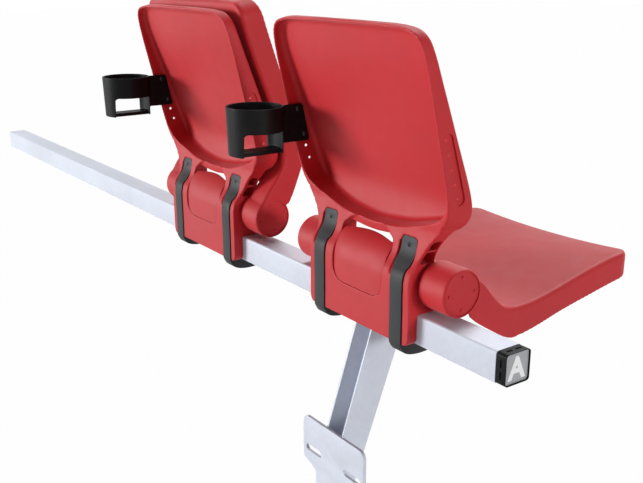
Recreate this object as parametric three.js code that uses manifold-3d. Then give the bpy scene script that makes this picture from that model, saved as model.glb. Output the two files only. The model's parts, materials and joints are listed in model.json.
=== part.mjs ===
// Beam-mounted tip-up seating: a square beam on a riser bracket, carrying two places.
// Millimetres. X runs along the beam towards a sitter's left, Y to the rear, Z up.
// The origin is on the rear face of the riser plate, midway between its two slots.
import * as THREE from 'three';
import { mergeVertices } from 'three/addons/utils/BufferGeometryUtils.js';
import Module from 'manifold-3d';

const wasm = await Module();
wasm.setup();

// Clearances and helpers' sizes
const GAP = 0.3;
const RUNNING = 0.1;
const OVERRUN = 4;
const FINE_STEPS = 20;
const COARSE_STEPS = 10;
const ARC_STEPS = 4;
const FILLET_STEPS = 3;
const CORNER_STEPS = 2;
const BORE_STEPS = 32;
const RIGHT_ANGLE = Math.PI / 2;
const SIDES = { left: 1, right: -1 };

// The row
const ROW = { pitch: 527.5, endReach: 297.5, setback: 67.5, rise: 300 };
const BAY_COUNT = 3;
const BEAM = { side: 50, wall: 2.5, corner: 4 };

// Hinge, in a seat's own frame: y from the beam's rear face, z from its top
const HINGE = { y: -33, z: 47, foldDegrees: 100 };
const AXLE = { radius: 10, endRoom: 6 };
const BUSH = { wall: 3.7, flange: 18, flangeWall: 2.4, length: 12 };
const HUB_BORE = AXLE.radius + RUNNING + BUSH.wall + GAP;
const COLLAR = { radius: 17, lugRadius: 30, inner: 150, outer: 163, play: 1.2 };
const COLLAR_DEGREES = { lug: 24, at: 180, play: 1 };
const HUB = { radius: 39, inner: 134, outer: 194, wall: 4, bossWall: 4, innerFillet: 5, outerFillet: 4 };
const CAP = { thickness: 3, pinRadius: 3, pinHeight: 1.2, pinCircle: 26.5 };
const PIN_DEGREES = [0, 90, 180, 270];
const AXLE_REACH = HUB.outer - CAP.thickness - AXLE.endRoom;

// Back moulding
const BACK = { halfWidth: 191, top: 444, bottom: 108.5, wall: 4, footWall: 3, skin: 4, edge: 5, dish: 8 };
const LEAN_SHARES = { face: 0.39, tuck: 0.2, crest: 0.12, rim: 0.245, foot: 0.13, floor: -0.1, slot: 0.31 };
const FACE = { belly: 180, bellyY: -55, crest: 385, blend: 20 };
const RIM = { level: 295, y: 27, foot: 165 };
const LEG = { inner: 65.2, outer: 131, rear: 20, front: 32, boss: 34, lip: 6, lipDrop: 8, top: 165 };
const TOE = { radius: 12 };
const LEG_CORE = { wall: 8, rib: 5, skin: 10, front: 5, inner: 120, low: 86, high: 114, ribSetback: 5 };
const APRON = { wall: 3.5 };
const SLOT = { low: 195.5, pitch: 22.3, y: -17.5, width: 13, depth: 1.5, bore: 2.5, run: 14 };
const HOLE_STEPS = [0, 1, 2, 3, 4];
const COVER = { room: 0.5, bottom: 11, top: 105, reachY: 53, reachZ: 62, wall: 3 };
const COVER_END = { crown: 6, roll: 2.5, hem: 20 };
const COVER_HALF = LEG.inner - COVER.room;
const HEM_POWER = 8;

// Clamp straps and their screws
const STRAP = { inner: 88, outer: 116, wall: 3, foot: 23, hook: 8, hookRise: 6, screwAt: 108 };
const TAB = { low: 74, widening: 3.5, rise: 5, corner: 8, slack: 4, slackLow: 60 };
const SCREW = { head: 3.2, headDepth: 1.8, shank: 1.8, length: 20, socket: 1.4, socketDepth: 1.2 };
const SOCKET_SIDES = 6;

// Seat pan, measured forwards and upwards from the hinge
const PAN = { reach: 415, halfWidth: 194, wall: 4, edge: 8, dish: 7, corner: 33, clear: 64, notch: 141 };
const PAN_RIB = { depth: 16, wall: 3 };
const RIB_SHARES = { long: [-0.6, -0.3, 0, 0.3, 0.6], cross: [0.36, 0.6, 0.82] };
const DISH_SHARES = [0.6, 0.2, -0.2, -0.6];

// Cup holder
const CUP = { standoff: 14, y: 83, top: 294, bottom: 213, wall: 3, sway: 1 };
const CUP_RADIUS = { top: 49.5, bottom: 47.5 };
const CUP_X = BACK.halfWidth + CUP.standoff;
const CUP_FLOOR = { width: 35, wall: 7 };
const CUP_WINDOW = { high: 249.5, halfWidth: 41, corner: 6 };
const ARM = { room: 1.5, wall: 4, top: 294, bottom: 228.5, topY: 0, bottomY: -14, reach: 43 };
const ARM_CORNER = { radius: 3, ease: 0.8 };
const ARM_X = BACK.halfWidth - BACK.wall - ARM.room - ARM.wall / 2;
const CUP_SCREW = { head: 5, headDepth: 2.8, shank: 2.2, reach: 7.5 };
const CUP_SCREW_STEPS = { upper: 4, lower: 2 };

// Bracket and riser plate
const CHANNEL = { width: 45, wall: 4, depth: 50, drop: 110, plateTop: 238 };
const CHANNEL_LEAN_SHARE = 0.379;
const PLATE = { wall: 6, head: 171, stem: 100, top: 60, shoulder: 15, bottom: -125, corner: 14, neck: 22 };
const PLATE_SLOT = { spacing: 110, length: 45, width: 12 };

// End cap
const END_CAP = { reach: 20, corner: 6, plug: 24, plugWall: 3, slack: 0.5, frame: 2, recess: 4.5, edge: 1 };
const END_SLOT = { length: 12, width: 3.5, depth: 1.6, spacing: 18 };
const SIGN = { wall: 1.7, corner: 4, bevel: 0.6 };

function material(color, roughness, metalness) {
  return new THREE.MeshStandardMaterial({ color, roughness, metalness });
}

const FINISH = {
  shell: material(0xc9333b, 0.45, 0),
  steel: material(0xd6d8e2, 0.4, 0.8),
  strap: material(0x4b4c4e, 0.6, 0.2),
  black: material(0x1b1b1d, 0.5, 0),
  screw: material(0x2a2a2c, 0.45, 0.6),
  bearing: material(0xe6e4dc, 0.5, 0),
  sign: material(0xaaaaac, 0.4, 0.3),
};

// Solids and their joins

function solidOf(geometry) {
  const bare = geometry.clone();
  bare.deleteAttribute('normal');
  bare.deleteAttribute('uv');
  const merged = mergeVertices(bare);
  return new wasm.Manifold(new wasm.Mesh({
    numProp: 3,
    vertProperties: new Float32Array(merged.attributes.position.array),
    triVerts: new Uint32Array(merged.index.array),
  }));
}

function join(...solids) {
  return solids.reduce((sum, next) => sum.add(next));
}

function piece(name, solid, finish) {
  const { vertProperties, triVerts } = solid.getMesh();
  const geometry = new THREE.BufferGeometry();
  geometry.setAttribute('position', new THREE.BufferAttribute(vertProperties, 3));
  geometry.setIndex(new THREE.BufferAttribute(triVerts, 1));
  geometry.computeVertexNormals();
  const mesh = new THREE.Mesh(geometry, finish);
  mesh.name = name;
  return mesh;
}

function shapeOf(points) {
  return new THREE.Shape(points.map(([a, b]) => new THREE.Vector2(a, b)));
}

function extrude(shape, depth, steps = ARC_STEPS) {
  return new THREE.ExtrudeGeometry(shape, { depth, bevelEnabled: false, curveSegments: steps });
}

// A profile drawn in (y, z), carried along X
function alongX(shape, from, to, steps) {
  const frame = new THREE.Matrix4().makeBasis(
    new THREE.Vector3(0, 1, 0),
    new THREE.Vector3(0, 0, 1),
    new THREE.Vector3(1, 0, 0),
  );
  return solidOf(extrude(shape, to - from, steps).applyMatrix4(frame).translate(from, 0, 0));
}

// An outline drawn in (x, z), carried along Y
function alongY(shape, from, to, steps) {
  const frame = new THREE.Matrix4().makeBasis(
    new THREE.Vector3(1, 0, 0),
    new THREE.Vector3(0, 0, 1),
    new THREE.Vector3(0, -1, 0),
  );
  return solidOf(extrude(shape, to - from, steps).applyMatrix4(frame).translate(0, to, 0));
}

function box(x0, x1, y0, y1, z0, z1) {
  const shape = new THREE.BoxGeometry(x1 - x0, y1 - y0, z1 - z0);
  return solidOf(shape.translate((x0 + x1) / 2, (y0 + y1) / 2, (z0 + z1) / 2));
}

// A round bar along X about (y, z)
function barX(radius, from, to, y = 0, z = 0, steps = FINE_STEPS) {
  const bar = new THREE.CylinderGeometry(radius, radius, to - from, steps);
  return solidOf(bar.rotateZ(RIGHT_ANGLE).translate((from + to) / 2, y, z));
}

// The solid itself on the left, its mirror image on the right
function onSide(solid, side) {
  return side > 0 ? solid : solid.mirror([1, 0, 0]);
}

// A turned piece: (radius, x) points from the axis round to the axis, revolved about X
function turnedX(profile, steps = FINE_STEPS) {
  const points = profile.map(([radius, x]) => new THREE.Vector2(radius, x));
  return solidOf(new THREE.LatheGeometry(points, steps).rotateZ(-RIGHT_ANGLE));
}

function roundedRect(x0, y0, x1, y1, corner) {
  const shape = new THREE.Shape();
  shape.moveTo(x0 + corner, y0);
  shape.absarc(x1 - corner, y0 + corner, corner, -RIGHT_ANGLE, 0);
  shape.absarc(x1 - corner, y1 - corner, corner, 0, RIGHT_ANGLE);
  shape.absarc(x0 + corner, y1 - corner, corner, RIGHT_ANGLE, Math.PI);
  shape.absarc(x0 + corner, y0 + corner, corner, Math.PI, Math.PI + RIGHT_ANGLE);
  return shape;
}

// A slot outline from a to b with round ends
function stadium(a, b, radius) {
  const angle = Math.atan2(b[1] - a[1], b[0] - a[0]);
  const shape = new THREE.Shape();
  shape.absarc(b[0], b[1], radius, angle - RIGHT_ANGLE, angle + RIGHT_ANGLE);
  shape.absarc(a[0], a[1], radius, angle + RIGHT_ANGLE, angle + RIGHT_ANGLE + Math.PI);
  return shape;
}

// A closed body through rings of equal count, each end closed by a fan to its middle
function loft(rings) {
  const positions = [];
  const put = (...points) => points.forEach((p) => positions.push(p.x, p.y, p.z));
  const count = rings[0].length;
  for (let k = 0; k + 1 < rings.length; k += 1) {
    for (let i = 0; i < count; i += 1) {
      const j = (i + 1) % count;
      put(rings[k][i], rings[k][j], rings[k + 1][j]);
      put(rings[k][i], rings[k + 1][j], rings[k + 1][i]);
    }
  }
  const middle = (ring) => ring.reduce((sum, p) => sum.add(p), new THREE.Vector3()).divideScalar(count);
  const first = rings[0];
  const last = rings[rings.length - 1];
  const start = middle(first);
  const end = middle(last);
  for (let i = 0; i < count; i += 1) {
    const j = (i + 1) % count;
    put(start, first[j], first[i]);
    put(end, last[i], last[j]);
  }
  const geometry = new THREE.BufferGeometry();
  geometry.setAttribute('position', new THREE.Float32BufferAttribute(positions, 3));
  return solidOf(geometry);
}

// A wall between two grids of points of the same size
function wallBetween(outer, inner) {
  const rings = outer.map((row, k) => [...row, ...inner[k].slice().reverse()]);
  const positions = [];
  const put = (...points) => points.forEach((p) => positions.push(p.x, p.y, p.z));
  const count = rings[0].length;
  for (let k = 0; k + 1 < rings.length; k += 1) {
    for (let i = 0; i < count; i += 1) {
      const j = (i + 1) % count;
      put(rings[k][i], rings[k][j], rings[k + 1][j]);
      put(rings[k][i], rings[k + 1][j], rings[k + 1][i]);
    }
  }
  const close = (ring, turned) => {
    for (let i = 0; i + 1 < count / 2; i += 1) {
      const corners = [ring[i], ring[i + 1], ring[count - 2 - i], ring[count - 1 - i]];
      const [a, b, c, d] = turned ? corners.reverse() : corners;
      put(a, b, c);
      put(a, c, d);
    }
  };
  close(rings[0], true);
  close(rings[rings.length - 1], false);
  const geometry = new THREE.BufferGeometry();
  geometry.setAttribute('position', new THREE.Float32BufferAttribute(positions, 3));
  return solidOf(geometry);
}

// The same line moved sideways by a distance
function offsetLine(points, distance) {
  return points.map(([a, b], i) => {
    const [a0, b0] = points[Math.max(i - 1, 0)];
    const [a1, b1] = points[Math.min(i + 1, points.length - 1)];
    const size = Math.hypot(a1 - a0, b1 - b0);
    return [a - (distance * (b1 - b0)) / size, b + (distance * (a1 - a0)) / size];
  });
}

// Back moulding

// Zero below nought, the length itself above, with a soft bend between
function soft(length) {
  return (length + Math.hypot(length, FACE.blend)) / 2;
}

// The sitter's face of the back: it leans above the belly and tucks in below it
function faceY(z) {
  const lean = LEAN_SHARES.face * soft(z - FACE.belly) + LEAN_SHARES.tuck * soft(FACE.belly - z);
  return FACE.bellyY + lean - LEAN_SHARES.crest * soft(z - FACE.crest);
}

// The rear rim of the tray
function rimY(z) {
  return RIM.y + LEAN_SHARES.rim * (z - RIM.level) + LEAN_SHARES.foot * soft(RIM.foot - z);
}

// How far the walls rise towards the face at a height of the rim, as a share of their depth
function drawShare(z) {
  const height = (z - BACK.bottom) / (BACK.top - BACK.bottom);
  return LEAN_SHARES.floor + (LEAN_SHARES.rim - LEAN_SHARES.floor) * height;
}

// Half of the rim's outline, as shares of the half width and of the height
const OUTLINE_SHARES = [
  [0, 0], [0.23, 0.01], [0.42, 0.025], [0.62, 0.055], [0.79, 0.088], [0.895, 0.122], [0.955, 0.162],
  [0.985, 0.205], [1, 0.28], [1, 0.5], [1, 0.72], [0.99, 0.86], [0.955, 0.935], [0.89, 0.971], [0.76, 0.989],
  [0.42, 0.998],
];

function backOutline() {
  const height = BACK.top - BACK.bottom;
  const half = OUTLINE_SHARES.map(([x, z]) => [x * BACK.halfWidth, BACK.bottom + z * height]);
  const mirrored = half.slice(1).reverse().map(([x, z]) => [-x, z]);
  const all = [...half, [0, BACK.top], ...mirrored];
  const points = all.map(([x, z]) => new THREE.Vector3(x, 0, z));
  const curve = new THREE.CatmullRomCurve3(points, true, 'centripetal');
  return curve.getSpacedPoints(2 * FINE_STEPS).slice(0, -1).map((p) => [p.x, p.z]);
}

// The outline drawn in by an inset, and by more where it faces down
function insetOutline(outline, inset, footInset = 0) {
  const count = outline.length;
  return outline.map(([x, z], i) => {
    const [x0, z0] = outline[(i + count - 1) % count];
    const [x1, z1] = outline[(i + 1) % count];
    const size = Math.hypot(x1 - x0, z1 - z0);
    const move = inset + (footInset * Math.max(x1 - x0, 0)) / size;
    return [x - (move * (z1 - z0)) / size, z + (move * (x1 - x0)) / size];
  });
}

function scaledOutline(outline, share) {
  const middle = (BACK.top + BACK.bottom) / 2;
  return outline.map(([x, z]) => [x * share, middle + (z - middle) * share]);
}

// A ring of the tray at a depth ahead of the rim, along the direction that the walls draw in
function ringAt(outline, ahead) {
  return outline.map(([x, z]) => {
    const depth = ahead(x, z);
    return new THREE.Vector3(x, rimY(z) - depth, z + drawShare(z) * depth);
  });
}

function faceDepth(back) {
  return (x, z) => {
    const depth = (rimY(z) - faceY(z)) / (1 + drawShare(z) * LEAN_SHARES.face);
    const across = x / BACK.halfWidth;
    return depth - back - BACK.dish * (1 - across * across);
  };
}

const FACE_SHARES = [0.88, 0.6, 0.3];

function trayBlock(outline) {
  const rings = [ringAt(outline, () => 0)];
  for (let k = 0; k <= FILLET_STEPS; k += 1) {
    const turn = (k / FILLET_STEPS) * RIGHT_ANGLE;
    const inset = BACK.edge * (1 - Math.cos(turn));
    const back = BACK.edge * (1 - Math.sin(turn));
    rings.push(ringAt(insetOutline(outline, inset), (x, z) => Math.max(faceDepth(back)(x, z), OVERRUN)));
  }
  const edge = insetOutline(outline, BACK.edge);
  FACE_SHARES.forEach((share) => rings.push(ringAt(scaledOutline(edge, share), faceDepth(0))));
  return loft(rings);
}

function trayPocket(outline) {
  const rim = insetOutline(outline, BACK.wall, BACK.footWall);
  const floor = insetOutline(outline, BACK.wall + BACK.edge / 2, BACK.footWall);
  const rings = [ringAt(rim, () => -LEG.rear), ringAt(rim, faceDepth(BACK.skin + BACK.edge / 2))];
  rings.push(ringAt(floor, faceDepth(BACK.skin)));
  FACE_SHARES.forEach((share) => rings.push(ringAt(scaledOutline(floor, share), faceDepth(BACK.skin))));
  return loft(rings);
}

// Rear face of a leg and of its strap, as shares of the leg's rear and of the rim's foot height
const LEG_REAR_SHARES = [
  [1, 0.51], [0.85, 0.62], [0.45, 0.73], [0.15, 0.82], [-0.02, 0.91], [-0.14, 1.02], [-0.25, 1.13],
  [-0.35, 1.27],
];
const STRAP_REAR_SHARES = [
  [1, 0.51], [0.85, 0.62], [0.42, 0.73], [0.05, 0.82], [-0.18, 0.91], [-0.3, 1.02], [-0.38, 1.11],
];
const LEG_OUTER_SHARES = [[1, 0.78], [1.035, 0.92], [1.11, 1.1], [1.21, 1.24], [1.31, 1.36]];
const LEG_INNER_SHARES = [[0.3, 1.2], [0.62, 1.13], [0.84, 1.05], [0.96, 0.99], [1, 0.93]];

function rearLine(shares) {
  return shares.map(([y, z]) => [y * LEG.rear, z * BACK.bottom]);
}

// The leg seen from the side: a saddle on the beam, a boss for the axle and a neck up to the tray
function legSide() {
  const shape = shapeOf([
    [GAP, -BEAM.side], [LEG.rear, -BEAM.side], ...rearLine(LEG_REAR_SHARES),
    [rimY(LEG.top), LEG.top], [faceY(LEG.top) + BACK.edge, LEG.top],
    [-LEG.front, BACK.bottom], [-LEG.front, HINGE.z + LEG.boss],
  ]);
  shape.absarc(HINGE.y, HINGE.z, LEG.boss, RIGHT_ANGLE, Math.PI + RIGHT_ANGLE / 3);
  [
    [-BEAM.side - LEG.lip, BEAM.corner], [-BEAM.side - LEG.lip, -LEG.lipDrop],
    [-BEAM.side - GAP, -LEG.lipDrop], [-BEAM.side - GAP, GAP], [GAP, GAP],
  ].forEach(([y, z]) => shape.lineTo(y, z));
  return shape;
}

// The leg seen from behind: it flares out to the tray's corner and in to the tray's foot
function legOutline(side) {
  const outer = LEG_OUTER_SHARES.map(([x, z]) => [x * LEG.outer, z * BACK.bottom]);
  const inner = LEG_INNER_SHARES.map(([x, z]) => [x * LEG.inner, z * BACK.bottom]);
  const toe = TOE.radius * (1 - Math.SQRT1_2);
  const all = [
    [LEG.inner, -BEAM.side], [LEG.outer - TOE.radius, -BEAM.side], [LEG.outer - toe, toe - BEAM.side],
    [LEG.outer, TOE.radius - BEAM.side], ...outer, [LEG.outer, LEG.top], ...inner,
  ];
  return shapeOf(all.map(([x, z]) => [x * side, z]));
}

function legBody(side) {
  const reach = LEG.outer * 2;
  const [from, to] = side > 0 ? [OVERRUN, reach] : [-reach, -OVERRUN];
  return alongX(legSide(), from, to).intersect(alongY(legOutline(side), -reach, reach));
}

// Coring of a leg's beam side, with one cross rib left standing
function legCores(side) {
  const { wall, rib } = LEG_CORE;
  const from = LEG.inner + rib;
  const to = LEG.outer - rib;
  const middle = -BEAM.side / 2;
  const rear = LEG.rear - wall;
  const low = box(from, to, -OVERRUN, rear, rib - BEAM.side, middle - rib / 2);
  return onSide(low.add(box(from, to, -OVERRUN, rear, middle + rib / 2, -rib)), side);
}

// The pocket in the outside of a leg's neck, with a rib across it
function neckPocket(side) {
  const { rib, skin, front, inner, low, high, ribSetback } = LEG_CORE;
  const rear = offsetLine(rearLine(LEG_REAR_SHARES), skin).filter(([, z]) => z > low && z < high);
  const ahead = front - LEG.front;
  const [first] = rear;
  const last = rear[rear.length - 1];
  const shape = shapeOf([[ahead, low], [first[0], low], ...rear, [last[0], high], [ahead, high]]);
  const outside = LEG.outer * 2;
  const middle = (low + high) / 2;
  const across = box(inner, LEG.outer - ribSetback, -outside, outside, middle - rib / 2, middle + rib / 2);
  return onSide(alongX(shape, inner, outside).subtract(across), side);
}

// A strap seen from behind: a narrow run on the beam and a wider tab with rounded corners
function strapOutline(room) {
  const { inner, outer } = STRAP;
  const { low, widening, rise, corner } = TAB;
  const line = rearLine(STRAP_REAR_SHARES);
  const top = line[line.length - 1][1] + room;
  const from = inner - widening - room;
  const to = outer + widening + room;
  const shape = new THREE.Shape();
  shape.moveTo(inner - room, -BEAM.side * 2);
  shape.lineTo(outer + room, -BEAM.side * 2);
  shape.lineTo(outer + room, low - room);
  shape.lineTo(to, low + rise - room);
  shape.absarc(to - corner, top - corner, corner, 0, RIGHT_ANGLE);
  shape.absarc(from + corner, top - corner, corner, RIGHT_ANGLE, Math.PI);
  shape.lineTo(from, low + rise - room);
  shape.lineTo(inner - room, low - room);
  return shape;
}

// The channel that a strap lies in, open to the rear, with slack beside the tab
function strapChannel(side) {
  const line = [[LEG.rear, -BEAM.side - OVERRUN], ...rearLine(STRAP_REAR_SHARES)];
  const top = line[line.length - 1];
  line.push([top[0], top[1] + GAP]);
  const floor = offsetLine(line, STRAP.wall + GAP);
  const shape = shapeOf([...floor, [LEG.rear * 2, top[1] + GAP], [LEG.rear * 2, -BEAM.side - OVERRUN]]);
  const deep = alongX(shape, -LEG.outer * 2, LEG.outer * 2);
  const lying = onSide(alongY(strapOutline(GAP), -LEG.outer, LEG.outer, FILLET_STEPS), side);
  const edge = side > 0 ? STRAP.outer : -STRAP.inner;
  const reach = edge + TAB.widening + TAB.slack;
  const slack = box(edge - GAP, reach, -LEG.outer, LEG.outer, TAB.slackLow, top[1] - TAB.corner);
  return deep.intersect(lying.add(slack));
}

// The accessory slot in the outside of a side wall, with its row of through holes
function slotPoint(step) {
  return [SLOT.y + LEAN_SHARES.slot * SLOT.pitch * step, SLOT.low + SLOT.pitch * step];
}

function slotRecess() {
  const past = SLOT.run / SLOT.pitch;
  const ends = [slotPoint(Math.min(...HOLE_STEPS) - past), slotPoint(Math.max(...HOLE_STEPS) + past)];
  const shape = stadium(ends[0], ends[1], SLOT.width / 2);
  const floor = BACK.halfWidth - SLOT.depth;
  const outside = BACK.halfWidth + OVERRUN;
  return join(alongX(shape, floor, outside), alongX(shape, -outside, -floor));
}

function slotHoles() {
  const outside = BACK.halfWidth + OVERRUN;
  const hole = (step) => barX(SLOT.bore, -outside, outside, ...slotPoint(step), COARSE_STEPS);
  return join(...HOLE_STEPS.map(hole));
}

function coverBottom(u) {
  return COVER.bottom + COVER_END.hem * Math.abs(u) ** HEM_POWER;
}

// The apron closes the space between the legs behind the beam, up to the hinge cover's seam
function apron() {
  const steps = [...Array(COARSE_STEPS + 1).keys()].map((i) => 1 - (2 * i) / COARSE_STEPS);
  const seam = steps.map((u) => [u * COVER_HALF, coverBottom(u) - GAP]);
  const reach = LEG.inner + LEG_CORE.rib;
  const [[, ends]] = seam;
  const shape = shapeOf([[-reach, -BEAM.side], [reach, -BEAM.side], [reach, ends], ...seam, [-reach, ends]]);
  return alongY(shape, LEG.rear - APRON.wall, LEG.rear);
}

function backrest() {
  const outline = backOutline();
  const body = join(trayBlock(outline), legBody(SIDES.left), legBody(SIDES.right), apron());
  const cores = Object.values(SIDES).flatMap((side) => [legCores(side), neckPocket(side)]);
  const cuts = join(trayPocket(outline), ...cores, slotHoles(), slotRecess());
  const channels = strapChannel(SIDES.left).add(strapChannel(SIDES.right));
  const screws = join(...Object.values(SIDES).map((side) => screwHole(side)));
  const bore = barX(AXLE.radius + GAP, -LEG.outer - OVERRUN, LEG.outer + OVERRUN, HINGE.y, HINGE.z);
  return body.subtract(cuts).subtract(channels).subtract(screws).subtract(bore);
}

// Hinge cover

function coverY(z) {
  const rise = Math.max(z - HINGE.z, 0) / COVER.reachZ;
  return HINGE.y + COVER.reachY * Math.sqrt(1 - rise * rise);
}

function coverPoint(u, v, depth) {
  const bottom = coverBottom(u);
  const top = COVER.top - COVER_END.crown * u * u;
  const z = bottom + (top - bottom) * v;
  const y = coverY(z);
  const slope = Math.max(z - HINGE.z, 0) / COVER.reachZ ** 2;
  const face = (y - HINGE.y) / COVER.reachY ** 2;
  const size = Math.hypot(slope, face);
  const roll = COVER_END.roll * Math.abs(u) ** HEM_POWER;
  return new THREE.Vector3(u * COVER_HALF, y - roll - (depth * face) / size, z - (depth * slope) / size);
}

function hingeCover() {
  const across = [...Array(COARSE_STEPS + 1).keys()].map((i) => (2 * i) / COARSE_STEPS - 1);
  const up = [...Array(COARSE_STEPS + 1).keys()].map((i) => i / COARSE_STEPS);
  const grid = (depth) => across.map((u) => up.map((v) => coverPoint(u, v, depth)));
  return wallBetween(grid(0), grid(COVER.wall));
}

// Clamp straps

// The crescent under the beam, as shares of its run forwards and of its drop
const FOOT_SHARES = [
  [0, 0.2], [0.08, 0.62], [0.2, 0.84], [0.4, 0.98], [0.6, 1], [0.8, 0.92], [0.94, 0.7], [1, 0.3],
];

function strapShape() {
  const rear = [[LEG.rear, -BEAM.side], ...rearLine(STRAP_REAR_SHARES)];
  const front = offsetLine(rear, STRAP.wall);
  const run = LEG.rear + BEAM.side + STRAP.hook;
  const foot = FOOT_SHARES.map(([y, z]) => [LEG.rear - y * run, -BEAM.side - z * STRAP.foot]);
  return shapeOf([
    ...front.slice(1), ...rear.slice().reverse(), ...foot,
    [-BEAM.side - STRAP.hook, -BEAM.side + STRAP.hookRise], [-BEAM.side - GAP, -BEAM.side + STRAP.hookRise],
    [-BEAM.side - GAP, -BEAM.side - GAP], [LEG.rear - STRAP.wall, -BEAM.side - GAP],
  ]);
}

function strapMiddle(side) {
  return (side * (STRAP.inner + STRAP.outer)) / 2;
}

function strapFaceY() {
  const line = rearLine(STRAP_REAR_SHARES);
  const above = line.findIndex(([, z]) => z > STRAP.screwAt);
  const [y0, z0] = line[above - 1];
  const [y1, z1] = line[above];
  return y0 + ((y1 - y0) * (STRAP.screwAt - z0)) / (z1 - z0);
}

function barY(radius, from, to, x, z, steps = COARSE_STEPS) {
  const bar = new THREE.CylinderGeometry(radius, radius, to - from, steps);
  return solidOf(bar.translate(x, (from + to) / 2, z));
}

function strap(side) {
  const reach = LEG.outer * 2;
  const band = alongX(strapShape(), -reach, reach);
  const lying = onSide(alongY(strapOutline(0), -reach, reach, FILLET_STEPS), side);
  const face = strapFaceY();
  const x = strapMiddle(side);
  const bore = barY(SCREW.shank + GAP, face - LEG.rear, face + OVERRUN, x, STRAP.screwAt);
  const seat = barY(SCREW.head + GAP, face - SCREW.headDepth - GAP, face + OVERRUN, x, STRAP.screwAt);
  return band.intersect(lying).subtract(bore).subtract(seat);
}

function screwHole(side) {
  const face = strapFaceY();
  const x = strapMiddle(side);
  return barY(SCREW.shank + GAP, face - SCREW.length - OVERRUN, face + OVERRUN, x, STRAP.screwAt);
}

function strapScrew(side) {
  const face = strapFaceY();
  const x = strapMiddle(side);
  const head = barY(SCREW.head, face - SCREW.headDepth, face, x, STRAP.screwAt);
  const shank = barY(SCREW.shank, face - SCREW.length, face - SCREW.headDepth / 2, x, STRAP.screwAt);
  const floor = face - SCREW.socketDepth;
  const socket = barY(SCREW.socket, floor, face + OVERRUN, x, STRAP.screwAt, SOCKET_SIDES);
  return head.add(shank).subtract(socket);
}

// Axle, its stop collars, and the hub's bushes

function hingeAxle() {
  const bore = AXLE.radius - BUSH.wall;
  const rod = barX(AXLE.radius, -AXLE_REACH, AXLE_REACH);
  return rod.subtract(barX(bore, -AXLE_REACH - OVERRUN, AXLE_REACH + OVERRUN));
}

const radians = (degrees) => (degrees * Math.PI) / 180;

// A point at a radius and a turn upwards from straight ahead, in (y, z)
function polar(radius, degrees) {
  return [-radius * Math.cos(radians(degrees)), radius * Math.sin(radians(degrees))];
}

function sector(inner, outer, from, to) {
  const turns = [...Array(FILLET_STEPS + 1).keys()].map((i) => from + ((to - from) * i) / FILLET_STEPS);
  return shapeOf([...turns.map((t) => polar(inner, t)), ...turns.reverse().map((t) => polar(outer, t))]);
}

function stopCollar(side) {
  const [from, to] = side > 0 ? [COLLAR.inner, COLLAR.outer] : [-COLLAR.outer, -COLLAR.inner];
  const half = COLLAR_DEGREES.lug / 2;
  const inside = COLLAR.radius - BUSH.wall;
  const turns = [COLLAR_DEGREES.at - half, COLLAR_DEGREES.at + half];
  const lug = alongX(sector(inside, COLLAR.lugRadius, ...turns), from, to);
  const ring = barX(COLLAR.radius, from, to).add(lug);
  return ring.subtract(barX(AXLE.radius + GAP, from - OVERRUN, to + OVERRUN));
}

function ringX(inner, outer, from, to) {
  return barX(outer, from, to).subtract(barX(inner, from - OVERRUN, to + OVERRUN));
}

function hubBush(side) {
  const flangeAt = HUB.inner - GAP;
  const bore = AXLE.radius + RUNNING;
  const from = flangeAt - BUSH.flangeWall;
  const to = flangeAt + BUSH.length;
  const body = barX(bore + BUSH.wall, from, to).add(barX(BUSH.flange, from, flangeAt));
  return onSide(body.subtract(barX(bore, from - OVERRUN, to + OVERRUN, 0, 0, BORE_STEPS)), side);
}

// Seat pan, in the hinge's own frame: forwards is -Y

// Stations from the hub forwards: reach, height of the rim and of the skirt's hem, as shares of the reach
const PAN_SHARES = [
  [0.041, 0.084, -0.086], [0.073, 0.054, -0.111], [0.121, 0.011, -0.142], [0.174, -0.048, -0.176],
  [0.229, -0.096, -0.215], [0.27, -0.111, -0.236], [0.326, -0.116, -0.232], [0.41, -0.111, -0.218],
  [0.555, -0.084, -0.184], [0.723, -0.048, -0.151], [0.853, -0.026, -0.127], [0.925, -0.018, -0.115],
  [0.955, -0.017, -0.11], [0.98, -0.019, -0.105], [0.994, -0.026, -0.1], [1, -0.04, -0.088],
];

function panWidth(reach) {
  const turn = Math.min(Math.max(reach - PAN.reach + PAN.corner, 0), PAN.corner);
  return PAN.halfWidth - PAN.corner + Math.sqrt(PAN.corner ** 2 - turn ** 2);
}

// One cross-section of the pan: a dished top between two rounded edges, and straight skirts
function panRing(y, width, top, bottom, edge) {
  const ring = [new THREE.Vector3(width, y, bottom)];
  for (let k = 0; k <= FILLET_STEPS; k += 1) {
    const turn = (k / FILLET_STEPS) * RIGHT_ANGLE;
    const x = width - edge * (1 - Math.cos(turn));
    ring.push(new THREE.Vector3(x, y, top - edge * (1 - Math.sin(turn))));
  }
  const flat = width - edge;
  DISH_SHARES.forEach((across) => {
    ring.push(new THREE.Vector3(across * flat, y, top - PAN.dish * (1 - across * across)));
  });
  const left = ring.slice(0, FILLET_STEPS + 2).reverse().map((p) => new THREE.Vector3(-p.x, p.y, p.z));
  return [...ring, ...left];
}

// The pan's whole block, drawn in by an inset and lowered by a drop
function panBlock(inset, drop, below) {
  const points = PAN_SHARES.map((row) => new THREE.Vector3(...row.map((share) => share * PAN.reach)));
  const stations = new THREE.CatmullRomCurve3(points, false, 'centripetal').getPoints(FINE_STEPS);
  const rings = stations.map(({ x: reach, y: top, z: bottom }) => {
    const back = inset * Math.min(1, (reach / PAN.reach) ** 2);
    const edge = Math.min(PAN.edge, (top - bottom) / 2);
    return panRing(back - reach, panWidth(reach) - inset, top - drop, bottom - below, edge);
  });
  return loft(rings);
}

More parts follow.
